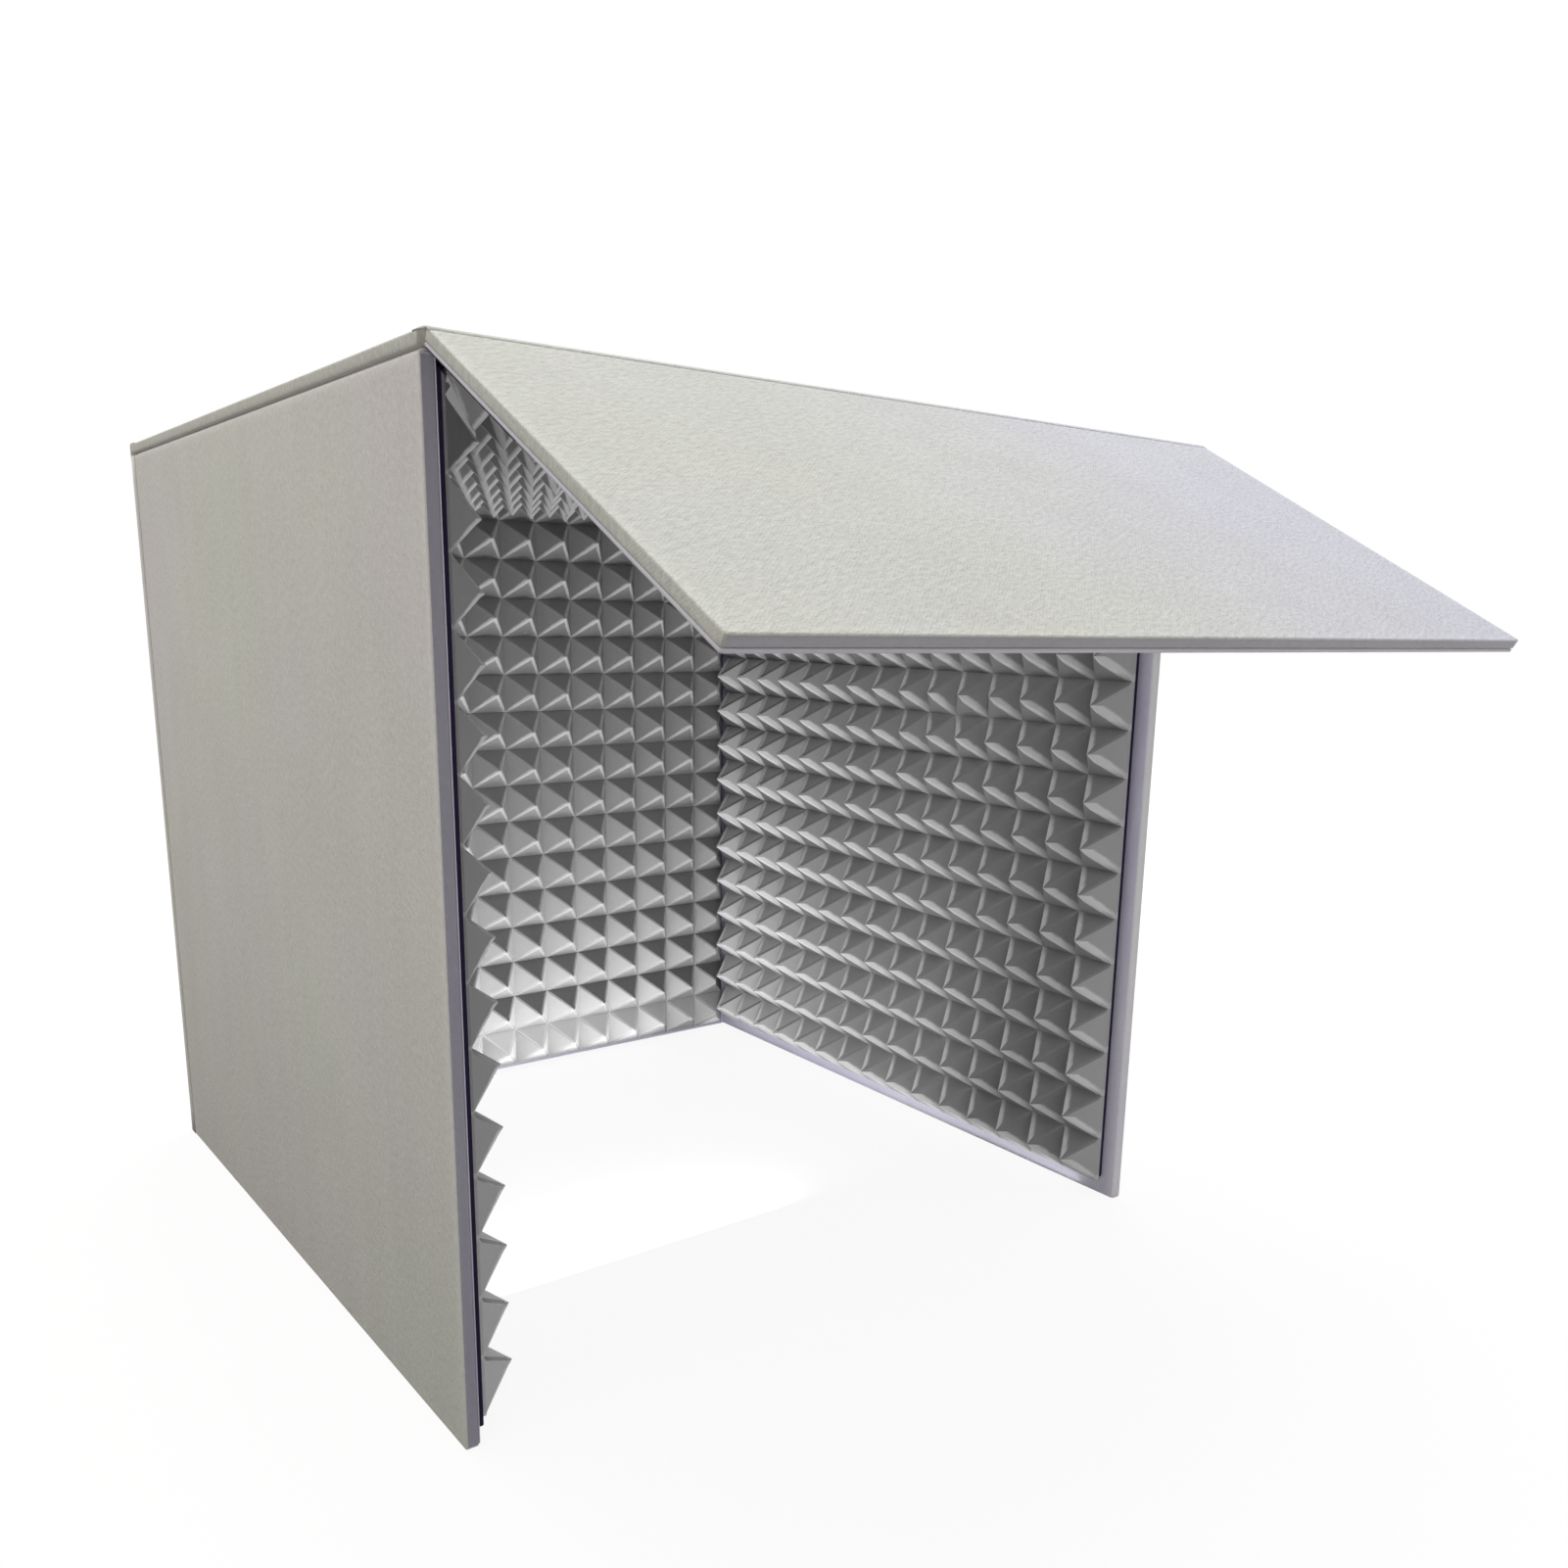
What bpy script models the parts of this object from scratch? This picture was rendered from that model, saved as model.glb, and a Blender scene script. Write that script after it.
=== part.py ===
# Folding desktop microphone isolation booth.
# Five cloth-covered boards make a cube that is open at the front and at the bottom.
# Metres, +Z up, front towards -Y, origin at the bottom centre of the whole object.

import math

import bpy
import bmesh
from mathutils import Matrix, Vector

# Driving dimensions
BOOTH_WIDTH = 0.400
BOOTH_DEPTH = 0.400
BOOTH_HEIGHT = 0.400
FLAP_LENGTH = 0.1875
FLAP_DROOP = math.radians(28.9)
RIGHT_WING_LEAN = math.radians(1.4)

# Boards: cover, stiff core and lining
BOARD_THICKNESS = 0.006
CLOTH_THICKNESS = 0.0008
EDGE_ROUNDING = 0.0012
ROUNDING_SEGMENTS = 2

# Clearances
SEAT_GAP = 0.0003
FOLD_GAP = 0.0009
FLAP_CLEARANCE = 0.0005
FLOOR_GAP = 0.0005

# Cloth hinges, which run from one board over the end of the next
HINGE_CLOTH = 0.0006

# Foam mats
PYRAMID_PITCH = 0.025
PYRAMID_HEIGHT = 0.0175
PYRAMID_TIP = 0.0012
FOAM_BASE = 0.0023
BACKING_THICKNESS = 0.0026
BACKING_OVERHANG = 0.002
MITRE_GAP = 0.0007

# Where each mat starts
LEFT_FRONT_MARGIN = 0.0065
RIGHT_FRONT_MARGIN = 0.008
LEFT_BOTTOM_MARGIN = 0.0075
RIGHT_BOTTOM_MARGIN = 0.0095
BACK_BOTTOM_MARGIN = 0.001
TOP_FRONT_MARGIN = 0.007

# Derived sizes
WALL_HEIGHT = BOOTH_HEIGHT - BOARD_THICKNESS - SEAT_GAP
BACK_WIDTH = BOOTH_WIDTH - 2 * (BOARD_THICKNESS + SEAT_GAP)
SPINE_LENGTH = BOARD_THICKNESS + FLAP_CLEARANCE
ROUNDED_OFF = EDGE_ROUNDING * (1 - math.sqrt(0.5))
FLAP_REACH = (FLAP_LENGTH - ROUNDED_OFF) * math.cos(FLAP_DROOP) - ROUNDED_OFF * math.sin(FLAP_DROOP)
FRONT_Y = -BOOTH_DEPTH / 2 - SPINE_LENGTH - FLAP_REACH
DEPTH_CENTRE = (FRONT_Y + BOOTH_DEPTH / 2) / 2
FOAM_LIFT = BOARD_THICKNESS + 2 * SEAT_GAP + BACKING_THICKNESS

# Each mat holds as many whole pyramids as its panel has room for
FRONT_MARGIN = max(LEFT_FRONT_MARGIN, RIGHT_FRONT_MARGIN, TOP_FRONT_MARGIN)
BOTTOM_MARGIN = max(LEFT_BOTTOM_MARGIN, RIGHT_BOTTOM_MARGIN, BACK_BOTTOM_MARGIN)
PYRAMIDS_WIDE = int((BACK_WIDTH - 2 * BACKING_OVERHANG) / PYRAMID_PITCH)
PYRAMIDS_DEEP = int((BOOTH_DEPTH - BOARD_THICKNESS - FRONT_MARGIN) / PYRAMID_PITCH)
PYRAMIDS_HIGH = int((WALL_HEIGHT - BOTTOM_MARGIN - BACKING_OVERHANG) / PYRAMID_PITCH)
FOAM_WIDTH = PYRAMIDS_WIDE * PYRAMID_PITCH
FOAM_DEPTH = PYRAMIDS_DEEP * PYRAMID_PITCH
FOAM_HEIGHT = PYRAMIDS_HIGH * PYRAMID_PITCH

# Colours: base colour and roughness
FINISHES = {
    "cover_cloth": ((0.42, 0.40, 0.36), 0.9),
    "lining_cloth": ((0.36, 0.33, 0.45), 0.9),
    "board": ((0.45, 0.36, 0.26), 0.8),
    "foam": ((0.25, 0.25, 0.25), 0.95),
    "backing": ((0.03, 0.02, 0.05), 0.9),
}


def clear_scene():
    for item in list(bpy.data.objects):
        bpy.data.objects.remove(item, do_unlink=True)


def material(finish):
    found = bpy.data.materials.get(finish)
    if found:
        return found
    colour, roughness = FINISHES[finish]
    made = bpy.data.materials.new(finish)
    made.use_nodes = True
    shader = made.node_tree.nodes["Principled BSDF"]
    shader.inputs["Base Color"].default_value = (*colour, 1.0)
    shader.inputs["Roughness"].default_value = roughness
    shader.inputs["Metallic"].default_value = 0.0
    return made


def add_empty(name, parent=None, matrix=None):
    empty = bpy.data.objects.new(name, None)
    bpy.context.collection.objects.link(empty)
    empty.empty_display_size = 0.05
    empty.parent = parent
    empty.matrix_local = matrix if matrix else Matrix.Identity(4)
    return empty


def axes_matrix(origin, across, along, inward):
    # Columns are the directions of a panel's own axes
    turn = Matrix((across, along, inward)).transposed()
    return Matrix.Translation(origin) @ turn.to_4x4()


def add_object(name, mesh_builder, finish, parent):
    mesh = bpy.data.meshes.new(name)
    mesh_builder.normal_update()
    mesh_builder.to_mesh(mesh)
    mesh_builder.free()
    made = bpy.data.objects.new(name, mesh)
    bpy.context.collection.objects.link(made)
    mesh.materials.append(material(finish))
    made.parent = parent
    return made


def box_builder(low, high):
    # A box between two corners, in the panel's own axes
    builder = bmesh.new()
    bmesh.ops.create_cube(builder, size=1.0)
    size = [b - a for a, b in zip(low, high)]
    centre = [(a + b) / 2 for a, b in zip(low, high)]
    bmesh.ops.scale(builder, vec=size, verts=builder.verts)
    bmesh.ops.translate(builder, vec=centre, verts=builder.verts)
    return builder


def add_box(name, low, high, finish, parent):
    return add_object(name, box_builder(low, high), finish, parent)


def inner_face(builder):
    return max(builder.faces, key=lambda face: face.calc_center_median().z)


def cover_builder(u_low, u_high, v_low, v_high):
    # A shallow tray: the outer face, four wrapped edges, open on the inner side
    builder = box_builder((u_low, v_low, 0.0), (u_high, v_high, BOARD_THICKNESS))
    inner = inner_face(builder)
    kept = set(inner.edges)
    rounded = [edge for edge in builder.edges if edge not in kept]
    bmesh.ops.bevel(
        builder,
        geom=rounded,
        offset=EDGE_ROUNDING,
        offset_type="OFFSET",
        segments=ROUNDING_SEGMENTS,
        profile=0.5,
        affect="EDGES",
    )
    inner = inner_face(builder)
    bmesh.ops.inset_region(builder, faces=[inner], thickness=CLOTH_THICKNESS, use_even_offset=True)
    inner = inner_face(builder)
    pocket = bmesh.ops.extrude_discrete_faces(builder, faces=[inner])["faces"][0]
    bmesh.ops.translate(
        builder,
        vec=(0.0, 0.0, CLOTH_THICKNESS - BOARD_THICKNESS),
        verts=pocket.verts,
    )
    return builder


def add_panel(prefix, u_range, v_range, parent):
    # Cover, stiff board and lining of one panel
    u_low, u_high = u_range
    v_low, v_high = v_range
    add_object(prefix + "_cover", cover_builder(u_low, u_high, v_low, v_high), "cover_cloth", parent)
    inset = CLOTH_THICKNESS + SEAT_GAP
    add_box(
        prefix + "_board",
        (u_low + inset, v_low + inset, inset),
        (u_high - inset, v_high - inset, BOARD_THICKNESS - inset),
        "board",
        parent,
    )
    add_box(
        prefix + "_lining",
        (u_low + inset, v_low + inset, BOARD_THICKNESS - CLOTH_THICKNESS),
        (u_high - inset, v_high - inset, BOARD_THICKNESS),
        "lining_cloth",
        parent,
    )


def foam_builder(u_start, v_start, columns, rows):
    # A flat mat: a thin base with a grid of pyramids, their tips slightly blunt
    builder = bmesh.new()
    valley_w = FOAM_LIFT + FOAM_BASE
    tip_w = valley_w + PYRAMID_HEIGHT
    grid = []
    for row in range(rows + 1):
        v = v_start + row * PYRAMID_PITCH
        line = [
            builder.verts.new((u_start + column * PYRAMID_PITCH, v, valley_w))
            for column in range(columns + 1)
        ]
        grid.append(line)
    for row in range(rows):
        for column in range(columns):
            corners = [
                grid[row][column],
                grid[row][column + 1],
                grid[row + 1][column + 1],
                grid[row + 1][column],
            ]
            centre = sum((corner.co for corner in corners), Vector()) / 4
            centre.z = tip_w
            tips = []
            for corner in corners:
                side = corner.co - centre
                tips.append(
                    builder.verts.new(
                        (
                            centre.x + math.copysign(PYRAMID_TIP / 2, side.x),
                            centre.y + math.copysign(PYRAMID_TIP / 2, side.y),
                            tip_w,
                        )
                    )
                )
            builder.faces.new(tips)
            for first in range(4):
                second = (first + 1) % 4
                builder.faces.new((corners[first], corners[second], tips[second], tips[first]))
    # The cut sides run down to the flat underside
    u_end = u_start + columns * PYRAMID_PITCH
    v_end = v_start + rows * PYRAMID_PITCH
    feet = [
        builder.verts.new((u, v, FOAM_LIFT))
        for u, v in ((u_start, v_start), (u_end, v_start), (u_end, v_end), (u_start, v_end))
    ]
    sides = (
        grid[0],
        [line[-1] for line in grid],
        grid[-1][::-1],
        [line[0] for line in grid][::-1],
    )
    for number, side in enumerate(sides):
        builder.faces.new([feet[number], feet[(number + 1) % 4]] + side[::-1])
    builder.faces.new(feet[::-1])
    return builder


def add_mat(prefix, u_start, v_start, columns, rows, parent, low_overhang=BACKING_OVERHANG):
    # The foam and the dark sheet under it, which shows past the foam on every side.
    # low_overhang is how far the sheet shows past the start of the mat along v.
    base = BOARD_THICKNESS + SEAT_GAP
    sheet = add_box(
        prefix + "_backing",
        (u_start - BACKING_OVERHANG, v_start - low_overhang, base),
        (
            u_start + columns * PYRAMID_PITCH + BACKING_OVERHANG,
            v_start + rows * PYRAMID_PITCH + BACKING_OVERHANG,
            base + BACKING_THICKNESS,
        ),
        "backing",
        parent,
    )
    builder = foam_builder(u_start, v_start, columns, rows)
    foam = add_object(prefix + "_foam", builder, "foam", parent)
    return foam, sheet


def mitre_cutter(name, edge_point, edge_axis, toward, parent):
    # A long wedge that ends at a 45 degree plane through an inner corner of the booth.
    # edge_point is on the corner line, edge_axis runs along it, and toward points into
    # the half that is cut away, square to the mitre plane.
    reach = BOOTH_WIDTH
    builder = box_builder((-reach, -MITRE_GAP / 2, -reach), (reach, reach, reach))
    normal = Vector(toward).normalized()
    along = Vector(edge_axis).normalized()
    side = along.cross(normal)
    place = axes_matrix(Vector(edge_point), side, normal, along)
    if place.to_3x3().determinant() < 0:
        place = axes_matrix(Vector(edge_point), -side, normal, along)
    cutter = add_object(name, builder, "foam", parent)
    cutter.matrix_local = place
    cutter.hide_render = True
    cutter.display_type = "WIRE"
    return cutter


def cut(target, cutter):
    step = target.modifiers.new(cutter.name, "BOOLEAN")
    step.operation = "DIFFERENCE"
    step.solver = "EXACT"
    step.object = cutter


def make_pivots():
    booth = add_empty("booth", None, Matrix.Translation((0.0, -DEPTH_CENTRE, 0.0)))
    half_width = BOOTH_WIDTH / 2
    half_depth = BOOTH_DEPTH / 2
    lean = Matrix.Rotation(-RIGHT_WING_LEAN, 4, "Z")
    back = axes_matrix((0.0, half_depth, 0.0), (1, 0, 0), (0, 0, 1), (0, -1, 0))
    top = axes_matrix((0.0, half_depth, BOOTH_HEIGHT), (1, 0, 0), (0, -1, 0), (0, 0, -1))
    left = axes_matrix((-half_width, half_depth, 0.0), (0, 0, 1), (0, -1, 0), (1, 0, 0))
    right = axes_matrix((0.0, 0.0, 0.0), (0, 0, -1), (0, -1, 0), (-1, 0, 0))
    right = Matrix.Translation((half_width, half_depth, 0.0)) @ lean @ right
    pivots = {
        "booth": booth,
        "back": add_empty("back_frame", booth, back),
        "top": add_empty("top_pivot", booth, top),
        "left": add_empty("left_pivot", booth, left),
        "right": add_empty("right_pivot", booth, right),
    }
    fold = Matrix.Translation((0.0, BOOTH_DEPTH + SPINE_LENGTH, 0.0))
    fold = fold @ Matrix.Rotation(FLAP_DROOP, 4, "X")
    pivots["flap"] = add_empty("flap_pivot", pivots["top"], fold)
    return pivots


def make_back(pivots):
    frame = pivots["back"]
    half_width = BACK_WIDTH / 2
    add_panel("back", (-half_width, half_width), (0.0, WALL_HEIGHT), frame)
    low_overhang = BACK_BOTTOM_MARGIN - FLOOR_GAP
    foam, sheet = add_mat(
        "back",
        -FOAM_WIDTH / 2,
        BACK_BOTTOM_MARGIN,
        PYRAMIDS_WIDE,
        PYRAMIDS_HIGH,
        frame,
        low_overhang,
    )
    # Hinge cloths lie flush with the outer face and cover the ends of their neighbours
    for prefix, side in (("left", -1), ("right", 1)):
        inner = side * (half_width + SEAT_GAP)
        outer = side * BOOTH_WIDTH / 2
        low, high = sorted((inner, outer))
        add_box(
            prefix + "_hinge_cloth",
            (low, FLOOR_GAP, 0.0),
            (high, WALL_HEIGHT, HINGE_CLOTH),
            "cover_cloth",
            frame,
        )
    add_box(
        "top_hinge_cloth",
        (-half_width, WALL_HEIGHT + SEAT_GAP, 0.0),
        (half_width, BOOTH_HEIGHT, HINGE_CLOTH),
        "cover_cloth",
        frame,
    )
    return foam


def make_wing(prefix, pivots, front_margin, bottom_margin):
    # u runs up on the left wing and down on the right one
    up = 1 if prefix == "left" else -1
    frame = pivots[prefix]
    u_range = tuple(sorted((0.0, up * WALL_HEIGHT)))
    add_panel(prefix, u_range, (FOLD_GAP, BOOTH_DEPTH), frame)
    mat_low = min(up * bottom_margin, up * (bottom_margin + FOAM_HEIGHT))
    v_start = BOOTH_DEPTH - front_margin - FOAM_DEPTH
    foam, sheet = add_mat(prefix, mat_low, v_start, PYRAMIDS_HIGH, PYRAMIDS_DEEP, frame)
    return foam


def make_top(pivots):
    frame = pivots["top"]
    half_width = BOOTH_WIDTH / 2
    add_panel("top", (-half_width, half_width), (FOLD_GAP, BOOTH_DEPTH), frame)
    v_start = BOOTH_DEPTH - TOP_FRONT_MARGIN - FOAM_DEPTH
    foam, sheet = add_mat("top", -FOAM_WIDTH / 2, v_start, PYRAMIDS_WIDE, PYRAMIDS_DEEP, frame)
    add_box(
        "flap_hinge_cloth",
        (-half_width, BOOTH_DEPTH + SEAT_GAP, 0.0),
        (half_width, BOOTH_DEPTH + SPINE_LENGTH, HINGE_CLOTH),
        "cover_cloth",
        frame,
    )
    return foam, sheet


def make_flap(pivots):
    half_width = BOOTH_WIDTH / 2
    add_panel("flap", (-half_width, half_width), (FOLD_GAP, FLAP_LENGTH), pivots["flap"])


def mitre_mats(pivots, mats, top_sheet):
    # The mats meet at 45 degrees in the inner corners, where the real foam is pressed flat
    booth = pivots["booth"]
    inner_x = BOOTH_WIDTH / 2 - BOARD_THICKNESS
    inner_y = BOOTH_DEPTH / 2 - BOARD_THICKNESS
    inner_z = BOOTH_HEIGHT - BOARD_THICKNESS
    lean_frame = add_empty(
        "right_lean_frame",
        booth,
        Matrix.Translation((BOOTH_WIDTH / 2, BOOTH_DEPTH / 2, 0.0))
        @ Matrix.Rotation(-RIGHT_WING_LEAN, 4, "Z")
        @ Matrix.Translation((-BOOTH_WIDTH / 2, -BOOTH_DEPTH / 2, 0.0)),
    )
    corners = (
        ("left", "back", booth, (-inner_x, inner_y, 0.0), (0, 0, 1), (1, 1, 0)),
        ("right", "back", lean_frame, (inner_x, inner_y, 0.0), (0, 0, 1), (-1, 1, 0)),
        ("left", "top", booth, (-inner_x, 0.0, inner_z), (0, 1, 0), (1, 0, 1)),
        ("right", "top", lean_frame, (inner_x, 0.0, inner_z), (0, 1, 0), (-1, 0, 1)),
        ("back", "top", booth, (0.0, inner_y, inner_z), (1, 0, 0), (0, -1, 1)),
    )
    for first, second, frame, point, axis, toward in corners:
        # toward points from the first mat into the second
        backward = tuple(-part for part in toward)
        off_first = mitre_cutter(first + "_" + second + "_cut", point, axis, toward, frame)
        off_second = mitre_cutter(second + "_" + first + "_cut", point, axis, backward, frame)
        cut(mats[first], off_first)
        cut(mats[second], off_second)
        if (first, second) == ("right", "top"):
            cut(top_sheet, off_second)


def main():
    clear_scene()
    pivots = make_pivots()
    top_mat, top_sheet = make_top(pivots)
    mats = {
        "back": make_back(pivots),
        "left": make_wing("left", pivots, LEFT_FRONT_MARGIN, LEFT_BOTTOM_MARGIN),
        "right": make_wing("right", pivots, RIGHT_FRONT_MARGIN, RIGHT_BOTTOM_MARGIN),
        "top": top_mat,
    }
    make_flap(pivots)
    mitre_mats(pivots, mats, top_sheet)


main()
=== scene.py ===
import math
import bpy
import bmesh
from mathutils import Matrix, Vector, noise
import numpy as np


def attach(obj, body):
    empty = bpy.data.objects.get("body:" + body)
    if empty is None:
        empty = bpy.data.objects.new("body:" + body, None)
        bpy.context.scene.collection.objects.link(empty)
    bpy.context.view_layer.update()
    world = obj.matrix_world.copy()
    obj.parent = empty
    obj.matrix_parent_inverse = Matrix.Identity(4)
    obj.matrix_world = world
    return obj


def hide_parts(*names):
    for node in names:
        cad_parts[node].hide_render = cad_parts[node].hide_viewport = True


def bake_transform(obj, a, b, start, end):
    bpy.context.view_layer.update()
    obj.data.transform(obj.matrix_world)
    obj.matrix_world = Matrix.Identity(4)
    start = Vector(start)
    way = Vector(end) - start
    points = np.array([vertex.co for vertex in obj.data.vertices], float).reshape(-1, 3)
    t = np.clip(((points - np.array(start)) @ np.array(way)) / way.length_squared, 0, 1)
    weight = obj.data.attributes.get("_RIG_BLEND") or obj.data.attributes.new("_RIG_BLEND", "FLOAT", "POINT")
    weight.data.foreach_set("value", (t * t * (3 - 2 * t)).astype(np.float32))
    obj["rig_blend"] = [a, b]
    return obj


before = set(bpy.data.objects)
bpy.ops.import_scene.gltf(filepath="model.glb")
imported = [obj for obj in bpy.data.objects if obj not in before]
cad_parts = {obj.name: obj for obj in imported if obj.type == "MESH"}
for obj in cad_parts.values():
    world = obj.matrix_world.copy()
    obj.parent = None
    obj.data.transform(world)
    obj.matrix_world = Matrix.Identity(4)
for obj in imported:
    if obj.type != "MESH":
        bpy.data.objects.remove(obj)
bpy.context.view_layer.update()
print("packed frame loaded")

scene = bpy.context.scene

# Places that the boards share, in metres
booth = {
    "width": 0.400,
    "depth": 0.400,
    "height": 0.400,
    "board": 0.006,  # with its cloth and lining
    "wallTop": 0.3937,
    "backHalf": 0.1937,
    "hingeGap": 0.0009,  # from a turning line to the board that turns
    "shift": 0.085086,  # puts the middle of booth and flap over the origin
    "fold": 0.4065,  # the flap's turning line, from the top's rear edge
    "flap": 0.1875,
    "lean": math.radians(1.4),
    "droop": math.radians(28.9),
}
halfWidth = booth["width"] / 2
rear = booth["depth"] / 2 + booth["shift"]
wallTop = booth["wallTop"]


def panelAxes(origin, across, along, inward):
    turn = Matrix((across, along, inward)).transposed().to_4x4()
    return Matrix.Translation(origin) @ turn


def panelPlaces():
    # u runs along the hinge, v away from it, w into the booth from the outer face
    top = panelAxes((0, rear, booth["height"]), (1, 0, 0), (0, -1, 0), (0, 0, -1))
    lean = Matrix.Rotation(-booth["lean"], 4, "Z") @ panelAxes((0, 0, 0), (0, 0, -1), (0, -1, 0), (-1, 0, 0))
    fold = Matrix.Translation((0, booth["fold"], 0)) @ Matrix.Rotation(booth["droop"], 4, "X")
    return dict(
        back=panelAxes((0, rear, 0), (1, 0, 0), (0, 0, 1), (0, -1, 0)),
        left=panelAxes((-halfWidth, rear, 0), (0, 0, 1), (0, -1, 0), (1, 0, 0)),
        right=Matrix.Translation((halfWidth, rear, 0)) @ lean, top=top, flap=top @ fold,
    )


places = panelPlaces()
bodyOf = {panel: panel + "_panel" for panel in ("back", "left", "right", "top")}
bodyOf["flap"] = "front_flap"


# Nodes. Each helper takes plain values or other nodes' outputs, and finds the tree that those are in.

def fillNode(node, values):
    for label, value in dict(values).items():
        if isinstance(value, bpy.types.NodeSocket):
            node.id_data.links.new(value, node.inputs[label])
        else:
            node.inputs[label].default_value = value
    return node


def addNode(tree, kind, values=(), **settings):
    node = tree.nodes.new(kind)
    for setting, value in settings.items():
        setattr(node, setting, value)
    return fillNode(node, values)


def calc(operation, first, *others):
    return addNode(first.id_data, "ShaderNodeMath", enumerate((first, *others)), operation=operation).outputs[0]


def vectorNode(operation, first, second):
    slot = "Scale" if operation == "SCALE" else 1
    values = {0: first, slot: second}
    return addNode(first.id_data, "ShaderNodeVectorMath", values, operation=operation).outputs[0]


def splitNode(vector):
    return addNode(vector.id_data, "ShaderNodeSeparateXYZ", {0: vector}).outputs


def noiseNode(vector, scale, detail=2.0, roughness=0.5, channel="Fac"):
    values = {"Vector": vector, "Scale": scale, "Detail": detail, "Roughness": roughness}
    return addNode(vector.id_data, "ShaderNodeTexNoise", values).outputs[channel]


def rampNode(value, between, result, easing="LINEAR"):
    values = dict(zip(("Value", "From Min", "From Max", "To Min", "To Max"), (value, *between, *result)))
    return addNode(value.id_data, "ShaderNodeMapRange", values, interpolation_type=easing).outputs["Result"]


def newGroup(name, inputs, *outputs, family="ShaderNodeTree"):
    # An input is given as the kind of its socket, or as the number or colour that it starts from.
    # Outputs named Color and Geometry are of those kinds, the others are numbers.
    tree = bpy.data.node_groups.new(name, family)
    for label, value in inputs.items():
        kind = value if isinstance(value, str) else "Color" if isinstance(value, tuple) else "Float"
        socket = tree.interface.new_socket(label, in_out="INPUT", socket_type="NodeSocket" + kind)
        if value != kind:
            socket.default_value = value
    for label in outputs:
        kind = label if label in ("Color", "Geometry") else "Float"
        tree.interface.new_socket(label, in_out="OUTPUT", socket_type="NodeSocket" + kind)
    start = addNode(tree, "NodeGroupInput")
    return tree, [start.outputs[label] for label in inputs]


def closeGroup(tree, **results):
    addNode(tree, "NodeGroupOutput", results)
    return tree


# Shader groups

midGrey = (0.5, 0.5, 0.5, 1.0)
ridgeLabels = ("Low low", "High low", "Low high", "High high")


def makeWeaveGroup():
    # Plain weave whose threads wander and thicken. Coordinates are in millimetres.
    inputs = {"Vector": "Vector", "Threads per mm": 1.2, "Slub": 0.5}
    tree, (vector, threads, slub) = newGroup("plainWeave", inputs, "Height", "Tone")
    wander = vectorNode("SUBTRACT", noiseNode(vector, 0.35, channel="Color"), (0.5, 0.5, 0.5))
    pushed = vectorNode("ADD", vector, vectorNode("SCALE", wander, 1.1))
    x, y = splitNode(vectorNode("SCALE", pushed, threads))[:2]
    warp = calc("SINE", calc("MULTIPLY", x, math.pi))
    weft = calc("SINE", calc("MULTIPLY", y, math.pi))
    crossing = calc("MULTIPLY", warp, weft)
    along = noiseNode(vectorNode("MULTIPLY", vector, (0.09, 1.6, 1.0)), 1.0, 3.0)
    across = noiseNode(vectorNode("MULTIPLY", vector, (1.6, 0.09, 1.0)), 1.0, 3.0)
    slubs = calc("SUBTRACT", calc("ADD", along, across), 1.0)
    slubs = calc("MULTIPLY", slubs, slub)
    nap = calc("MULTIPLY_ADD", noiseNode(vector, 2.6, 3.0, 0.6), 0.6, slubs)
    height = calc("MULTIPLY_ADD", crossing, 0.28, nap)
    tone = calc("MULTIPLY_ADD", slubs, 0.7, calc("MULTIPLY", crossing, 0.06))
    return closeGroup(tree, Height=height, Tone=tone)


def makeMottleGroup():
    # Broad uneven tone, as on cloth that was glued down by hand
    inputs = {"Vector": "Vector", "Scale": 14.0, "Streak": 0.5}
    tree, (vector, scale, streak) = newGroup("broadMottle", inputs, "Tone")
    cloud = calc("SUBTRACT", noiseNode(vector, scale, 4.0), 0.5)
    streaks = noiseNode(vectorNode("MULTIPLY", vector, (60.0, 60.0, 6.0)), 1.0, 3.0)
    streaks = calc("MULTIPLY", calc("SUBTRACT", streaks, 0.5), streak)
    return closeGroup(tree, Tone=calc("ADD", cloud, streaks))


def makeEdgeGroup():
    # Folds and ridges get a painted highlight, and the tone, partly painted light and shade, lightens or
    # darkens the colour, up to a pale limit
    inputs = {"Color": midGrey, "Edge": 0.0, "Tone": 0.0, "Lift": 0.2}
    tree, (colour, edge, tone, lift) = newGroup("rubbedEdge", inputs, "Color")
    gain = calc("ADD", calc("MULTIPLY_ADD", edge, lift, 1.0), tone)
    tonedAndHighlighted = vectorNode("SCALE", colour, gain)
    return closeGroup(tree, Color=vectorNode("MINIMUM", tonedAndHighlighted, (0.88, 0.88, 0.89)))


def makeGrainGroup():
    # Small pressed bumps that lean one way, on the thick cloth
    tree, (vector, bumps) = newGroup("pressedGrain", {"Vector": "Vector", "Bumps per mm": 0.45}, "Height")
    values = {"Vector": vectorNode("SCALE", vector, bumps), "Angle": math.radians(28.0)}
    turned = addNode(tree, "ShaderNodeVectorRotate", values, rotation_type="Z_AXIS").outputs["Vector"]
    stretched = vectorNode("MULTIPLY", turned, (0.6, 1.15, 1.0))
    coarse = noiseNode(stretched, 1.0, 2.0, 0.45)
    fine = noiseNode(stretched, 2.7)
    return closeGroup(tree, Height=calc("MULTIPLY_ADD", fine, 0.45, coarse))


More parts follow.
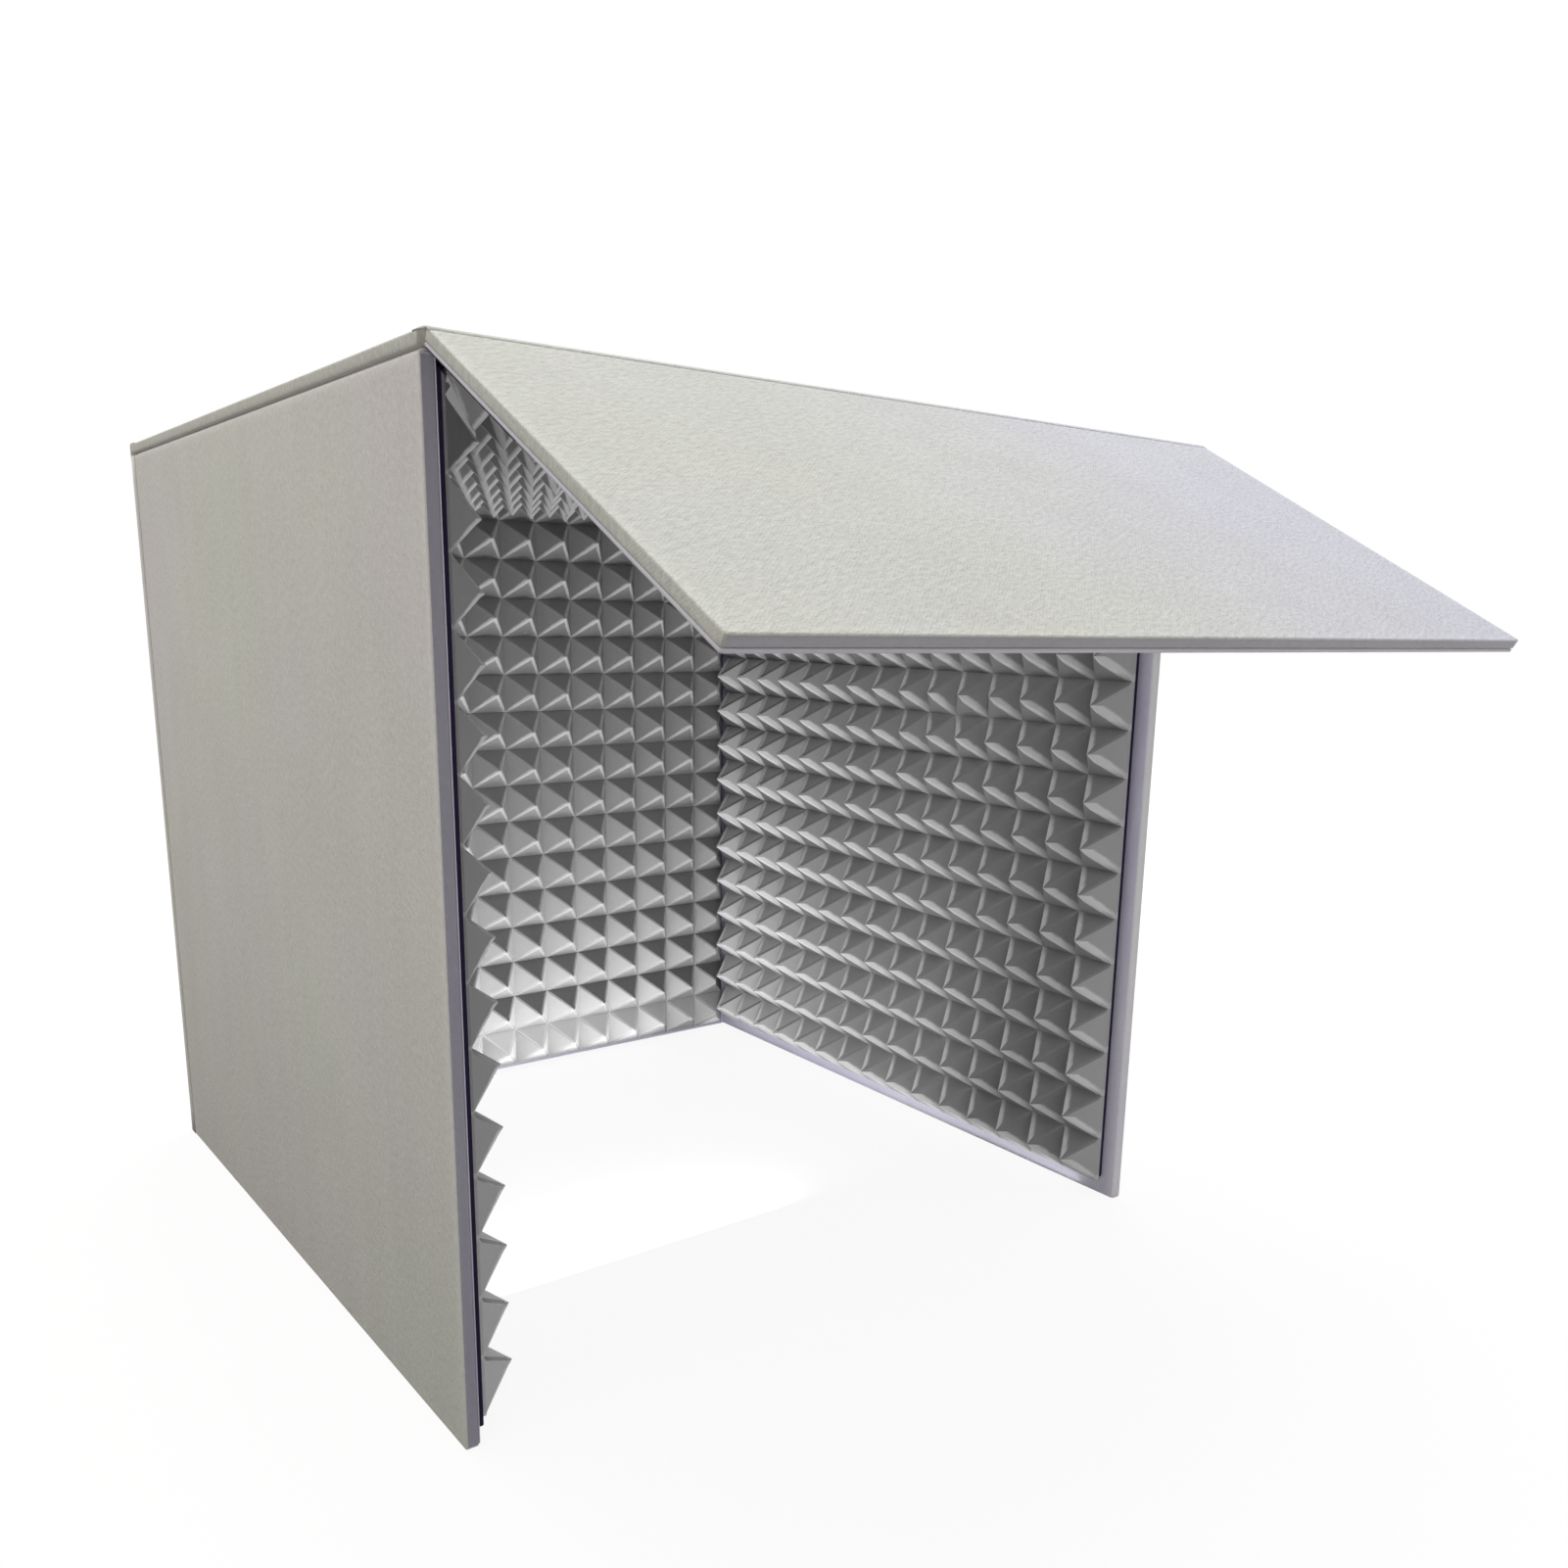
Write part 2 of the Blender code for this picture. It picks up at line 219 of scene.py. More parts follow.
def makeTintGroup():
    # Two tints of one cloth drift into each other in large soft clouds
    inputs = {"Vector": "Vector", "First": midGrey, "Second": midGrey, "Lean": 0.0, "Contrast": 4.0}
    tree, (vector, first, second, lean, contrast) = newGroup("driftingTint", inputs, "Color")
    cloud = calc("SUBTRACT", noiseNode(vector, 7.0), 0.5)
    spread = calc("MULTIPLY_ADD", cloud, contrast, 0.5)
    spread = calc("MULTIPLY_ADD", splitNode(vector)[0], lean, spread)
    share = addNode(tree, "ShaderNodeClamp", {"Value": spread}).outputs[0]
    moved = vectorNode("SCALE", vectorNode("SUBTRACT", second, first), share)
    return closeGroup(tree, Color=vectorNode("ADD", first, moved))


def makeBandGroup():
    # A painted highlight band along each ridge of a pyramid, widest at the tip. Cell runs from -1 to 1 across
    # one pyramid.
    inputs = {"Cell": "Vector", "Wander": 0.0, "Ridge": 1.0, **dict.fromkeys(ridgeLabels, 1.0)}
    inputs.update({"Tip width": 0.30, "Foot width": 0.15})
    tree, sockets = newGroup("ridgeBand", inputs, "Mask")
    cell, wander, ridge, lowLow, highLow, lowHigh, highHigh, tipWidth, footWidth = sockets

    def between(low, high, share):
        return calc("MULTIPLY_ADD", calc("SUBTRACT", high, low), share, low)

    x, y = splitNode(cell)[:2]
    across = calc("ABSOLUTE", x)
    along = calc("ABSOLUTE", y)
    away = calc("ABSOLUTE", calc("SUBTRACT", across, along))
    away = calc("ADD", away, wander)
    depth = calc("MAXIMUM", across, along)
    highX = calc("GREATER_THAN", x, 0.0)
    highY = calc("GREATER_THAN", y, 0.0)
    pale = between(between(lowLow, highLow, highX), between(lowHigh, highHigh, highX), highY)
    width = between(tipWidth, footWidth, depth)
    width = calc("MULTIPLY", width, calc("MULTIPLY_ADD", pale, 0.6, 0.4))
    edge = rampNode(calc("DIVIDE", away, width), (0.45, 1.0), (1.0, 0.0), "SMOOTHSTEP")
    mask = calc("MULTIPLY", edge, rampNode(depth, (0.6, 1.0), (1.0, 0.3)))
    mask = calc("MULTIPLY", mask, calc("MULTIPLY", pale, ridge))
    return closeGroup(tree, Mask=mask)


def makePoresGroup():
    # Open foam: pits between fine grains, their tone, and how far the pale bands stray
    tree, (vector,) = newGroup("foamPores", {"Vector": "Vector"}, "Height", "Tone", "Wander")
    pits = addNode(tree, "ShaderNodeTexVoronoi", {"Vector": vector, "Scale": 1100.0}).outputs["Distance"]
    grain = noiseNode(vector, 420.0, 4.0, 0.65)
    height = calc("MULTIPLY_ADD", pits, 0.6, grain)
    wander = calc("MULTIPLY_ADD", noiseNode(vector, 260.0), 0.12, -0.06)
    return closeGroup(tree, Height=height, Tone=calc("SUBTRACT", grain, 0.5), Wander=wander)


weaveGroup, poresGroup, bandGroup = makeWeaveGroup(), makePoresGroup(), makeBandGroup()
grainGroup, tintGroup = makeGrainGroup(), makeTintGroup()
mottleGroup, edgeGroup = makeMottleGroup(), makeEdgeGroup()


# Materials

def groupNode(tree, group, values):
    return addNode(tree, "ShaderNodeGroup", values, node_tree=group).outputs


def attributeNode(tree, name):
    return addNode(tree, "ShaderNodeAttribute", attribute_name=name).outputs["Fac"]


def newMaterial(name, roughness):
    made = bpy.data.materials.new(name)
    made.use_nodes = True
    tree = made.node_tree
    shader = tree.nodes["Principled BSDF"]
    fillNode(shader, {"Roughness": roughness, "Metallic": 0.0, "Specular IOR Level": 0.25})
    return made, tree, shader


def finishSkin(tree, shader, edgeValues, bump, height):
    # The colour with its tone and painted highlights, and the relief, the same way for cloth and foam
    tonedAndHighlighted = groupNode(tree, edgeGroup, edgeValues)
    relief = addNode(tree, "ShaderNodeBump", {"Strength": bump, "Distance": 0.0005, "Height": height})
    fillNode(shader, {"Base Color": tonedAndHighlighted["Color"], "Normal": relief.outputs["Normal"]})


def clothMaterial(name, look):
    made, tree, shader = newMaterial(name, look["roughness"])
    fillNode(shader, {"Sheen Weight": look["sheen"], "Sheen Roughness": 0.6})
    place = addNode(tree, "ShaderNodeTexCoord").outputs["Object"]
    flat = addNode(tree, "ShaderNodeUVMap", uv_map="cloth").outputs["UV"]
    flat = vectorNode("SCALE", flat, 1000.0)  # millimetres
    weaveValues = {"Vector": flat, "Threads per mm": look["threads"], "Slub": look["slub"]}
    weave = groupNode(tree, weaveGroup, weaveValues)
    grain = groupNode(tree, grainGroup, {"Vector": flat, "Bumps per mm": look["bumpsPerMm"]})
    mottleValues = {"Vector": place, "Scale": look["mottleScale"], "Streak": look["streak"]}
    tintValues = dict(
        Vector=place, First=(*look["colour"], 1.0), Second=(*look["second"], 1.0), Lean=look["lean"],
        Contrast=look["tintContrast"],
    )
    tone = calc("MULTIPLY", groupNode(tree, mottleGroup, mottleValues)["Tone"], look["mottle"])
    tone = calc("MULTIPLY_ADD", weave["Tone"], look["threadTone"], tone)
    grainTone = calc("SUBTRACT", grain["Height"], 0.725)  # about the grain's mean height
    edgeValues = dict(
        Color=groupNode(tree, tintGroup, tintValues)["Color"], Edge=attributeNode(tree, "fold"),
        Tone=calc("MULTIPLY_ADD", grainTone, look["grainTone"], tone), Lift=look["foldLift"],
    )
    height = calc("MULTIPLY_ADD", weave["Height"], 0.25, grain["Height"])
    finishSkin(tree, shader, edgeValues, look["bump"], height)
    return made


def foamMaterial(name, look):
    made, tree, shader = newMaterial(name, 0.95)
    place = addNode(tree, "ShaderNodeTexCoord").outputs["Object"]
    pores = groupNode(tree, poresGroup, {"Vector": place})
    mottle = groupNode(tree, mottleGroup, {"Vector": place, "Scale": look["mottleScale"], "Streak": 0.0})
    bandValues = {
        "Cell": addNode(tree, "ShaderNodeUVMap", uv_map="cell").outputs["UV"],
        "Wander": pores["Wander"],
        "Ridge": attributeNode(tree, "ridge"),
        **dict(zip(ridgeLabels, look["ridges"])),
        **dict(zip(("Tip width", "Foot width"), look["bandWidth"])),
    }
    tone = calc("MULTIPLY", mottle["Tone"], look["mottle"])
    tone = calc("MULTIPLY_ADD", pores["Tone"], look["grain"], tone)
    edgeValues = dict(
        Color=(*look["colour"], 1.0), Edge=groupNode(tree, bandGroup, bandValues)["Mask"],
        # The rim attribute carries the paler cut sides and the painted light and shade of the mats
        Tone=calc("MULTIPLY_ADD", attributeNode(tree, "rim"), look["rimLift"], tone),
        Lift=look["ridgeLift"],
    )
    finishSkin(tree, shader, edgeValues, look["bump"], pores["Height"])
    return made


def clothLook(colour, second, **changes):
    # foldLift scales the painted highlight along folds and rounded edges
    look = dict(
        colour=colour, second=second, roughness=0.9, sheen=0.1, threads=1.3, slub=0.35, threadTone=0.07,
        mottle=0.08, mottleScale=18.0, streak=0.5, foldLift=0.14, bumpsPerMm=0.45, grainTone=0.10,
        lean=0.0, tintContrast=4.0, bump=0.65,
    )
    return {**look, **changes}


# outerCloth is a lighter copy of the flap's cloth, painted light for the outer walls; edgeCloth, flapEdge and
# paleEdge are darker and lighter copies of one end cloth, painted shade and painted light
clothLooks = {
    "outerCloth": clothLook(
        (0.745, 0.752, 0.685), (0.756, 0.730, 0.715), mottle=0.10, streak=1.0, grainTone=0.22, bump=0.75
    ),
    "flapCloth": clothLook(
        (0.645, 0.648, 0.595),
        (0.650, 0.650, 0.722),
        mottle=0.10,
        streak=1.0,
        grainTone=0.36,
        bump=1.0,
        lean=3.2,
        tintContrast=1.2,
    ),
    "edgeCloth": clothLook((0.43, 0.41, 0.49), (0.44, 0.43, 0.48), foldLift=0.10, mottle=0.12),
    "flapEdge": clothLook((0.50, 0.485, 0.525), (0.52, 0.51, 0.545), foldLift=0.12),
    "paleEdge": clothLook((0.88, 0.87, 0.92), (0.84, 0.83, 0.90), foldLift=0.05, mottle=0.25),
    "liningCloth": clothLook((0.70, 0.67, 0.84), (0.76, 0.74, 0.86), foldLift=0.15, mottle=0.18, bump=0.2),
    "paleLining": clothLook((0.69, 0.68, 0.73), (0.67, 0.66, 0.72), foldLift=0.05, bump=0.2),
    # A real backing whose near-black colour paints the shadow line at the foam's edges
    "backingFelt": clothLook(
        (0.018, 0.011, 0.040), (0.024, 0.015, 0.050),
        threads=0.9, slub=0.6, threadTone=0.3, mottle=0.3, sheen=0.0,
    ),
    "greyBoard": clothLook(
        (0.32, 0.28, 0.23), (0.30, 0.27, 0.23), threads=0.5, slub=1.0, threadTone=0.25, foldLift=0.0, sheen=0.0
    ),
}
cloths = {name: clothMaterial(name, look) for name, look in clothLooks.items()}
foamLook = {
    "colour": (0.25, 0.25, 0.252),
    "mottle": 0.10,
    "mottleScale": 26.0,
    "grain": 0.14,
    "bandWidth": (0.30, 0.15),  # at a ridge's tip and foot
    # ridgeLift scales the painted ridge highlight, rimLift the paler cut sides and the painted light and shade
    "ridgeLift": 2.5,
    "rimLift": 0.55,
    "bump": 0.35,
}
# How strong the painted highlight on each of a pyramid's ridges is, set per wall by where the light falls:
# low-low, high-low, low-high and high-high in u and v
foamLooks = {
    # The back and right walls' foam colours are lighter copies of the foam, painted light
    "back": {"ridges": (0.8, 0.8, 0.2, 0.7), "colour": (0.355, 0.355, 0.357), "ridgeLift": 1.45},
    "left": {"ridges": (0.6, 0.3, 1.0, 0.3)},
    "right": dict(
        ridges=(0.95, 0.0, 0.0, 1.0), bandWidth=(0.46, 0.36), colour=(0.335, 0.335, 0.337),
        ridgeLift=1.6,
    ),
    "top": {"ridges": (0.4, 0.4, 0.6, 0.8), "bandWidth": (0.36, 0.32)},
}
foamSkins = {name: foamMaterial(name + "FoamSkin", {**foamLook, **look}) for name, look in foamLooks.items()}
print("materials made")


# Meshes

def joinRings(builder, rings):
    # Four-sided faces between each ring of points and the next
    faces = []
    for first, second in zip(rings, rings[1:]):
        for index in range(len(first)):
            after = (index + 1) % len(first)
            faces.append(builder.faces.new((first[index], first[after], second[after], second[index])))
    return faces


def faceOutwards(builder):
    bmesh.ops.recalc_face_normals(builder, faces=builder.faces)
    if builder.calc_volume(signed=True) < 0:
        bmesh.ops.reverse_faces(builder, faces=builder.faces)


def newPiece(name, builder, *skins, place=Matrix()):
    mesh = bpy.data.meshes.new(name)
    builder.to_mesh(mesh)
    builder.free()
    mesh.transform(place)
    for skin in skins:
        mesh.materials.append(skin)
    piece = bpy.data.objects.new(name, mesh)
    scene.collection.objects.link(piece)
    return piece


def applied(piece):
    graph = bpy.context.evaluated_depsgraph_get()
    mesh = bpy.data.meshes.new_from_object(piece.evaluated_get(graph))
    mesh.name = piece.name
    old = piece.data
    piece.modifiers.clear()
    piece.data = mesh
    bpy.data.meshes.remove(old)
    return mesh


def trim(builder, point, normal):
    # Cuts off what lies ahead of a plane and closes the cut
    geometry = builder.verts[:] + builder.edges[:] + builder.faces[:]
    plane = {"plane_co": point, "plane_no": normal, "clear_outer": True, "dist": 1e-7}
    result = bmesh.ops.bisect_plane(builder, geom=geometry, **plane)
    edges = [part for part in result["geom_cut"] if isinstance(part, bmesh.types.BMEdge)]
    if edges:
        bmesh.ops.holes_fill(builder, edges=edges)


def clothMesh(rings, caps):
    # A smooth mesh from rings of (point, paleness of a painted highlight, spot on the cloth), closed over the
    # rings named as caps
    builder = bmesh.new()
    flat = builder.loops.layers.uv.new("cloth")
    fold = builder.verts.layers.float.new("fold")
    spots = {}
    loops = []
    for ring in rings:
        loops.append([])
        for point, pale, spot in ring:
            vertex = builder.verts.new(point)
            vertex[fold] = pale
            spots[vertex] = spot
            loops[-1].append(vertex)
    joinRings(builder, loops)
    for cap in caps:
        builder.faces.new(loops[cap])
    for face in builder.faces:
        face.smooth = True
        for loop in face.loops:
            loop[flat].uv = spots[loop.vert]
    return builder


# Boards wrapped in cloth

def outline(spec, inset, corner):
    # Points round a rectangle with rounded corners, and the direction outwards at each
    uLow, uHigh = spec["u"][0] + inset, spec["u"][1] - inset
    vLow, vHigh = spec["v"][0] + inset, spec["v"][1] - inset
    perSide, arcSteps = spec["perSide"], 4
    centres = (
        (uHigh - corner, vLow + corner),
        (uHigh - corner, vHigh - corner),
        (uLow + corner, vHigh - corner),
        (uLow + corner, vLow + corner),
    )
    points = []
    for side, centre in enumerate(centres):
        for step in range(arcSteps + 1):
            angle = math.radians(90.0 * (side - 1 + step / arcSteps))
            out = Vector((math.cos(angle), math.sin(angle)))
            points.append((Vector(centre) + corner * out, out))
        begin, out = points[-1]
        stop = Vector(centres[(side + 1) % 4]) + corner * out
        points += [(begin.lerp(stop, step / perSide), out) for step in range(1, perSide)]
    return points


def uneven(point, size, amount, seed):
    return noise.noise(Vector(point) * size + Vector((seed, seed * 1.7, 0))) * amount


def flatReach(spec):
    # How far in from its edge a sheet can have rings
    return min(high - low for low, high in (spec["u"], spec["v"])) / 2 - 0.01


def wrapRings(spec):
    # Each ring: depth w, inset from the outline, how far along the cloth, paleness (a painted highlight on the
    # folded edge), whether on an edge
    depth, radius, lip = spec["depth"], spec["radius"], spec["lip"]
    rings = [
        (depth, lip, depth + lip, 0.0, True),
        (depth, lip * 0.5, depth + lip * 0.5, 0.0, True),
        (depth, 0.0007, depth + 0.0004, 0.3, True),
        (depth - 0.0003, 0.00015, depth - 0.0002, 0.6, True),
        (depth - 0.0008, 0.0, depth - 0.0008, 0.0, True),
        (depth * 0.55, 0.0, depth * 0.55, 0.0, True),
        (radius + 0.0004, 0.0, radius + 0.0004, 0.1, True),
    ]
    for degrees in (0, 22.5, 45, 67.5, 90):
        angle = math.radians(degrees)
        along = radius * (math.pi / 2 - angle) * 0.64
        pale = 1.0 if 0 < degrees < 90 else 0.6
        w, inset = radius * (1 - math.sin(angle)), radius * (1 - math.cos(angle))
        rings.append((w, inset, along, pale, degrees == 0))
    for inset in (0.0028, 0.005, 0.009, 0.016, 0.028, 0.045, 0.07, 0.1, 0.14):
        if inset < flatReach(spec):
            rings.append((0.0, inset, 0.0, 0.25 if inset < 0.003 else 0.0, False))
    return rings


def wrappedCloth(name, spec, place):
    # A cloth drawn over the outer face and the four edges of a board and turned in behind it
    waver, seed, radius = spec["waver"], spec["seed"], spec["radius"]
    rings = []
    onEnd = []
    for depth, inset, along, pale, onEdge in wrapRings(spec):
        ring = []
        for point, out in outline(spec, inset, max(spec["corner"] - inset * 0.8, 0.00025)):
            w = depth
            if onEdge:
                if "endCloth" in spec and out.y > 0.9 and depth > radius + 0.0002:
                    point = point - out * spec["endStep"]
                point = point + out * uneven((point.x, point.y, depth), 55.0, waver, seed)
            else:
                w += uneven((point.x, point.y, 0.0), 12.0, waver * 1.5, seed)
            ring.append(((point.x, point.y, w), pale, (point.x + out.x * along, point.y + out.y * along)))
            onEnd.append(out.y > 0.9 and w > radius - 0.0001)
        rings.append(ring)
    builder = clothMesh(rings, (-1,))
    skins = [cloths[spec["cloth"]]]
    if "endCloth" in spec:
        skins.append(cloths[spec["endCloth"]])
        builder.verts.index_update()
        for face in builder.faces:
            face.material_index = int(all(onEnd[vertex.index] for vertex in face.verts))
    bmesh.ops.recalc_face_normals(builder, faces=builder.faces)
    piece = newPiece(name, builder, *skins)
    # The cloth's own thickness goes inwards from its outer surface
    if max(piece.data.polygons, key=lambda polygon: polygon.area).normal.z > 0:
        piece.data.flip_normals()
    thick = piece.modifiers.new("thickness", "SOLIDIFY")
    thick.thickness = spec["thickness"]
    thick.offset = -1.0
    applied(piece).transform(place)
    return piece


def roundedSheet(name, spec, place):
    # A closed sheet with softly rounded edges, which carry a painted highlight: linings, backing sheets and
    # stiff boards
    low, high = spec["w"]
    r = min(spec["radius"], (high - low) * 0.45)
    reach = flatReach(spec)
    profile = [(low, inset, 0.0) for inset in (0.08, 0.02) if inset < reach]
    profile += [(low, r, 0.5), (low + r * 0.3, r * 0.3, 1.0), (low + r, 0.0, 1.0)]
    profile += [(high - r, 0.0, 1.0), (high - r * 0.3, r * 0.3, 1.0), (high, r, 0.5)]
    profile += [(high, inset, 0.0) for inset in (0.004, 0.01, 0.02, 0.04, 0.08, 0.13) if inset < reach]
    rings = []
    for w, inset, pale in profile:
        ring = []
        for point, out in outline(spec, inset, max(spec["corner"] - inset * 0.8, 0.0002)):
            if inset < 0.003:
                point = point + out * uneven((point.x, point.y, 0.0), 60.0, spec["waver"], spec["seed"])
            ring.append(((point.x, point.y, w), pale, (point.x + out.x * w, point.y + out.y * w)))
        rings.append(ring)
    builder = clothMesh(rings, (0, -1))
    faceOutwards(builder)
    for point, normal in spec.get("cuts", ()):
        trim(builder, point, normal)
    return newPiece(name, builder, cloths[spec["cloth"]], place=place)


def shrunk(size, inset):
    return {side: (low + inset, high - inset) for side, (low, high) in size.items()}


swinging = (booth["hingeGap"], booth["depth"])
panelSizes = {
    "back": {"u": (-booth["backHalf"], booth["backHalf"]), "v": (0.0, wallTop)},
    "left": {"u": (0.0, wallTop), "v": swinging},
    "right": {"u": (-wallTop, 0.0), "v": swinging},
    "top": {"u": (-halfWidth, halfWidth), "v": swinging},
    "flap": {"u": (-halfWidth, halfWidth), "v": (booth["hingeGap"], booth["flap"])},
}
coverShape = {
    "depth": 0.00555,
    "radius": 0.0008,
    "corner": 0.0011,
    "lip": 0.010,  # how far the cloth is turned in behind the board
    "endStep": 0.0003,  # how far a front end in another cloth lies back
    "perSide": 40,
    "waver": 0.00006,
    "thickness": 0.0006,
    "cloth": "outerCloth",
}
coverLooks = {
    "back": {"seed": 3.0},
    "left": {"seed": 7.0, "endCloth": "edgeCloth"},
    "right": {"seed": 11.0, "endCloth": "paleEdge"},
    "top": {"seed": 15.0, "depth": 0.0046, "cloth": "flapCloth"},
    "flap": dict(seed=19.0, depth=0.0044, radius=0.0006, cloth="flapCloth", endCloth="flapEdge"),
}
liningShape = dict(
    w=(0.0056, 0.0061), inset=0.0004, radius=0.0005, corner=0.0012, perSide=40, waver=0.00008,
    cloth="liningCloth",
)
liningLooks = {
    "top": {"w": (0.0047, 0.0059), "inset": 0.0026},
    "flap": {"w": (0.0045, 0.0058), "inset": 0.0, "cloth": "paleLining"},
}
boardShape = dict(radius=0.0003, corner=0.0010, perSide=12, waver=0.0, seed=1.0, cloth="greyBoard")
boardRoom = {"inset": 0.0011, "skin": 0.0009}  # inside its cover, at the edges and over the faces

shown = {}
for panel, size in panelSizes.items():
    place = places[panel]
    cover = {**coverShape, **coverLooks[panel], **size}
    shown[panel + "Cover"] = wrappedCloth(panel + "Cover", cover, place)
    lining = {**liningShape, **liningLooks.get(panel, {}), "seed": cover["seed"] + 1.0}
    lining.update(shrunk(size, lining["inset"]))
    shown[panel + "Lining"] = roundedSheet(panel + "Lining", lining, place)
    thickness = (boardRoom["skin"], cover["depth"] - boardRoom["skin"])
    board = {**boardShape, **shrunk(size, boardRoom["inset"]), "w": thickness}
    shown[panel + "Board"] = roundedSheet(panel + "Board", board, place)
# A thin dark strip under the flap's left edge, next to the fold: a painted shadow in the gap between the flap
# and the ceiling foam
stripSpec = dict(
    u=(-0.1996, -0.1980), v=(0.0018, 0.0700), w=(0.0055, 0.0063), radius=0.0001, corner=0.0004,
    perSide=8, waver=0.0, seed=2.0, cloth="backingFelt",
)
shown["flapStrip"] = roundedSheet("flapStrip", stripSpec, places["flap"])
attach(shown["flapStrip"], "front_flap")
print("boards wrapped")


# Foam mats

foamSpec = {
    "pitch": 0.025,
    "count": 15,
    "peak": 0.0175,
    "lift": 0.0092,  # from the board's outer face to the foam's flat back
    "base": 0.0023,
    "ridgeRound": 0.0012,
    "levels": (0.07, 0.84, 0.955),  # where a pyramid has rings, as shares of its peak
    "tip": 0.985,
    "unevenness": 0.0004,
    "warp": 0.0005,
}
steep = 0.7  # a face leans this way when its normal has at least this share
# The rim value of a face in painted shade
shaded = -0.45


def ramp(value, start, reach):
    # From 0 at the start to 1 at the end of a stretch
    return min(max((value - start) / reach, 0.0), 1.0)


def pyramidModule():
    # One pyramid with softened ridges and tip, its foot square sharp so that copies meet
    half, peak = foamSpec["pitch"] / 2, foamSpec["peak"]
    builder = bmesh.new()
    ridge = builder.verts.layers.float.new("ridge")
    cell = builder.loops.layers.uv.new("cell")
    foot = [builder.verts.new((su * half, sv * half, 0.0)) for su, sv in ((-1, -1), (1, -1), (1, 1), (-1, 1))]
    rings = []
    for level in foamSpec["levels"]:
        side = half * (1 - level)
        soft = min(foamSpec["ridgeRound"], side * 0.55)
        bend = -side + soft * 0.29  # the middle of a rounded ridge
        ring = []
        for turn in range(4):
            spin = Matrix.Rotation(math.radians(90 * turn), 3, "Z")
            for u, v in ((-side, -side + soft), (bend, bend), (-side + soft, -side)):
                ring.append(builder.verts.new(spin @ Vector((u, v, peak * level))))
        rings.append(ring)
    tip = builder.verts.new((0.0, 0.0, peak * foamSpec["tip"]))
    for turn, corner in enumerate(foot):
        first, middle, last = rings[0][turn * 3:turn * 3 + 3]
        builder.faces.new((corner, middle, first))
        builder.faces.new((corner, last, middle))
        builder.faces.new((corner, foot[(turn + 1) % 4], rings[0][(turn * 3 + 3) % 12], last))
    for index, face in enumerate(joinRings(builder, rings)):
        face.smooth = index % 3 != 2
    for index in range(12):
        builder.faces.new((rings[-1][index], rings[-1][(index + 1) % 12], tip)).smooth = True
    bmesh.ops.recalc_face_normals(builder, faces=builder.faces)
    if sum(face.normal.z for face in builder.faces) < 0:
        bmesh.ops.reverse_faces(builder, faces=builder.faces)
    for vertex in builder.verts:
        vertex[ridge] = 1.0
    for face in builder.faces:
        for loop in face.loops:
            loop[cell].uv = (loop.vert.co.x / half, loop.vert.co.y / half)
    return newPiece("pyramidModule", builder)


def foamTree():
    # Copies the pyramid over a grid, joins the copies and nudges each tip
    inputs = dict(
        Geometry="Geometry", Pyramid="Object", Columns="Int", Rows="Int", Pitch="Float", Peak="Float",
        Unevenness="Float", Seed="Int", Material="Material",
    )
    tree, sockets = newGroup("foamMat", inputs, "Geometry", family="GeometryNodeTree")
    pyramid, columns, rows, pitch, peak, unevenness, seed, material = sockets[1:]

    def grow(kind, values, output="Geometry", **settings):
        return addNode(tree, "GeometryNode" + kind, values, **settings).outputs[output]

    grid = {"Vertices X": columns, "Vertices Y": rows}
    for label, count in (("Size X", columns), ("Size Y", rows)):
        grid[label] = calc("MULTIPLY", calc("SUBTRACT", count, 1), pitch)
    copies = {"Points": grow("MeshGrid", grid, "Mesh"), "Instance": grow("ObjectInfo", {"Object": pyramid})}
    copies = grow("InstanceOnPoints", copies, "Instances")
    span = {"Min": (-1.0, -1.0, -0.9), "Max": (1.0, 1.0, 0.1), "Seed": seed}
    scatter = addNode(tree, "FunctionNodeRandomValue", span, data_type="FLOAT_VECTOR").outputs["Value"]
    copies = {"Geometry": copies, "Name": "nudge", "Value": scatter}
    copies = grow("StoreNamedAttribute", copies, data_type="FLOAT_VECTOR", domain="INSTANCE")
    real = grow("RealizeInstances", {"Geometry": copies})
    nudge = grow("InputNamedAttribute", {"Name": "nudge"}, "Attribute", data_type="FLOAT_VECTOR")
    level = calc("DIVIDE", splitNode(grow("InputPosition", {}, "Position"))["Z"], peak)
    strength = calc("MULTIPLY", calc("MULTIPLY", level, level), unevenness)
    nudged = grow("SetPosition", {"Geometry": real, "Offset": vectorNode("SCALE", nudge, strength)})
    weld = grow("MergeByDistance", {"Geometry": nudged, "Distance": 0.00005})
    finish = grow("SetMaterial", {"Geometry": weld, "Material": material})
    return closeGroup(tree, Geometry=finish)


def grownFoam(name, spec):
    carrier = newPiece(name, bmesh.new())
    grow = carrier.modifiers.new("foam", "NODES")
    grow.node_group = foamGroup
    values = dict(
        Pyramid=module, Columns=spec["columns"], Rows=spec["rows"], Pitch=foamSpec["pitch"],
        Peak=foamSpec["peak"], Unevenness=foamSpec["unevenness"], Seed=spec["seed"],
        Material=spec["skin"],
    )
    for item in foamGroup.interface.items_tree:
        if item.item_type == "SOCKET" and item.name in values:
            grow[item.identifier] = values[item.name]
    applied(carrier)
    return carrier


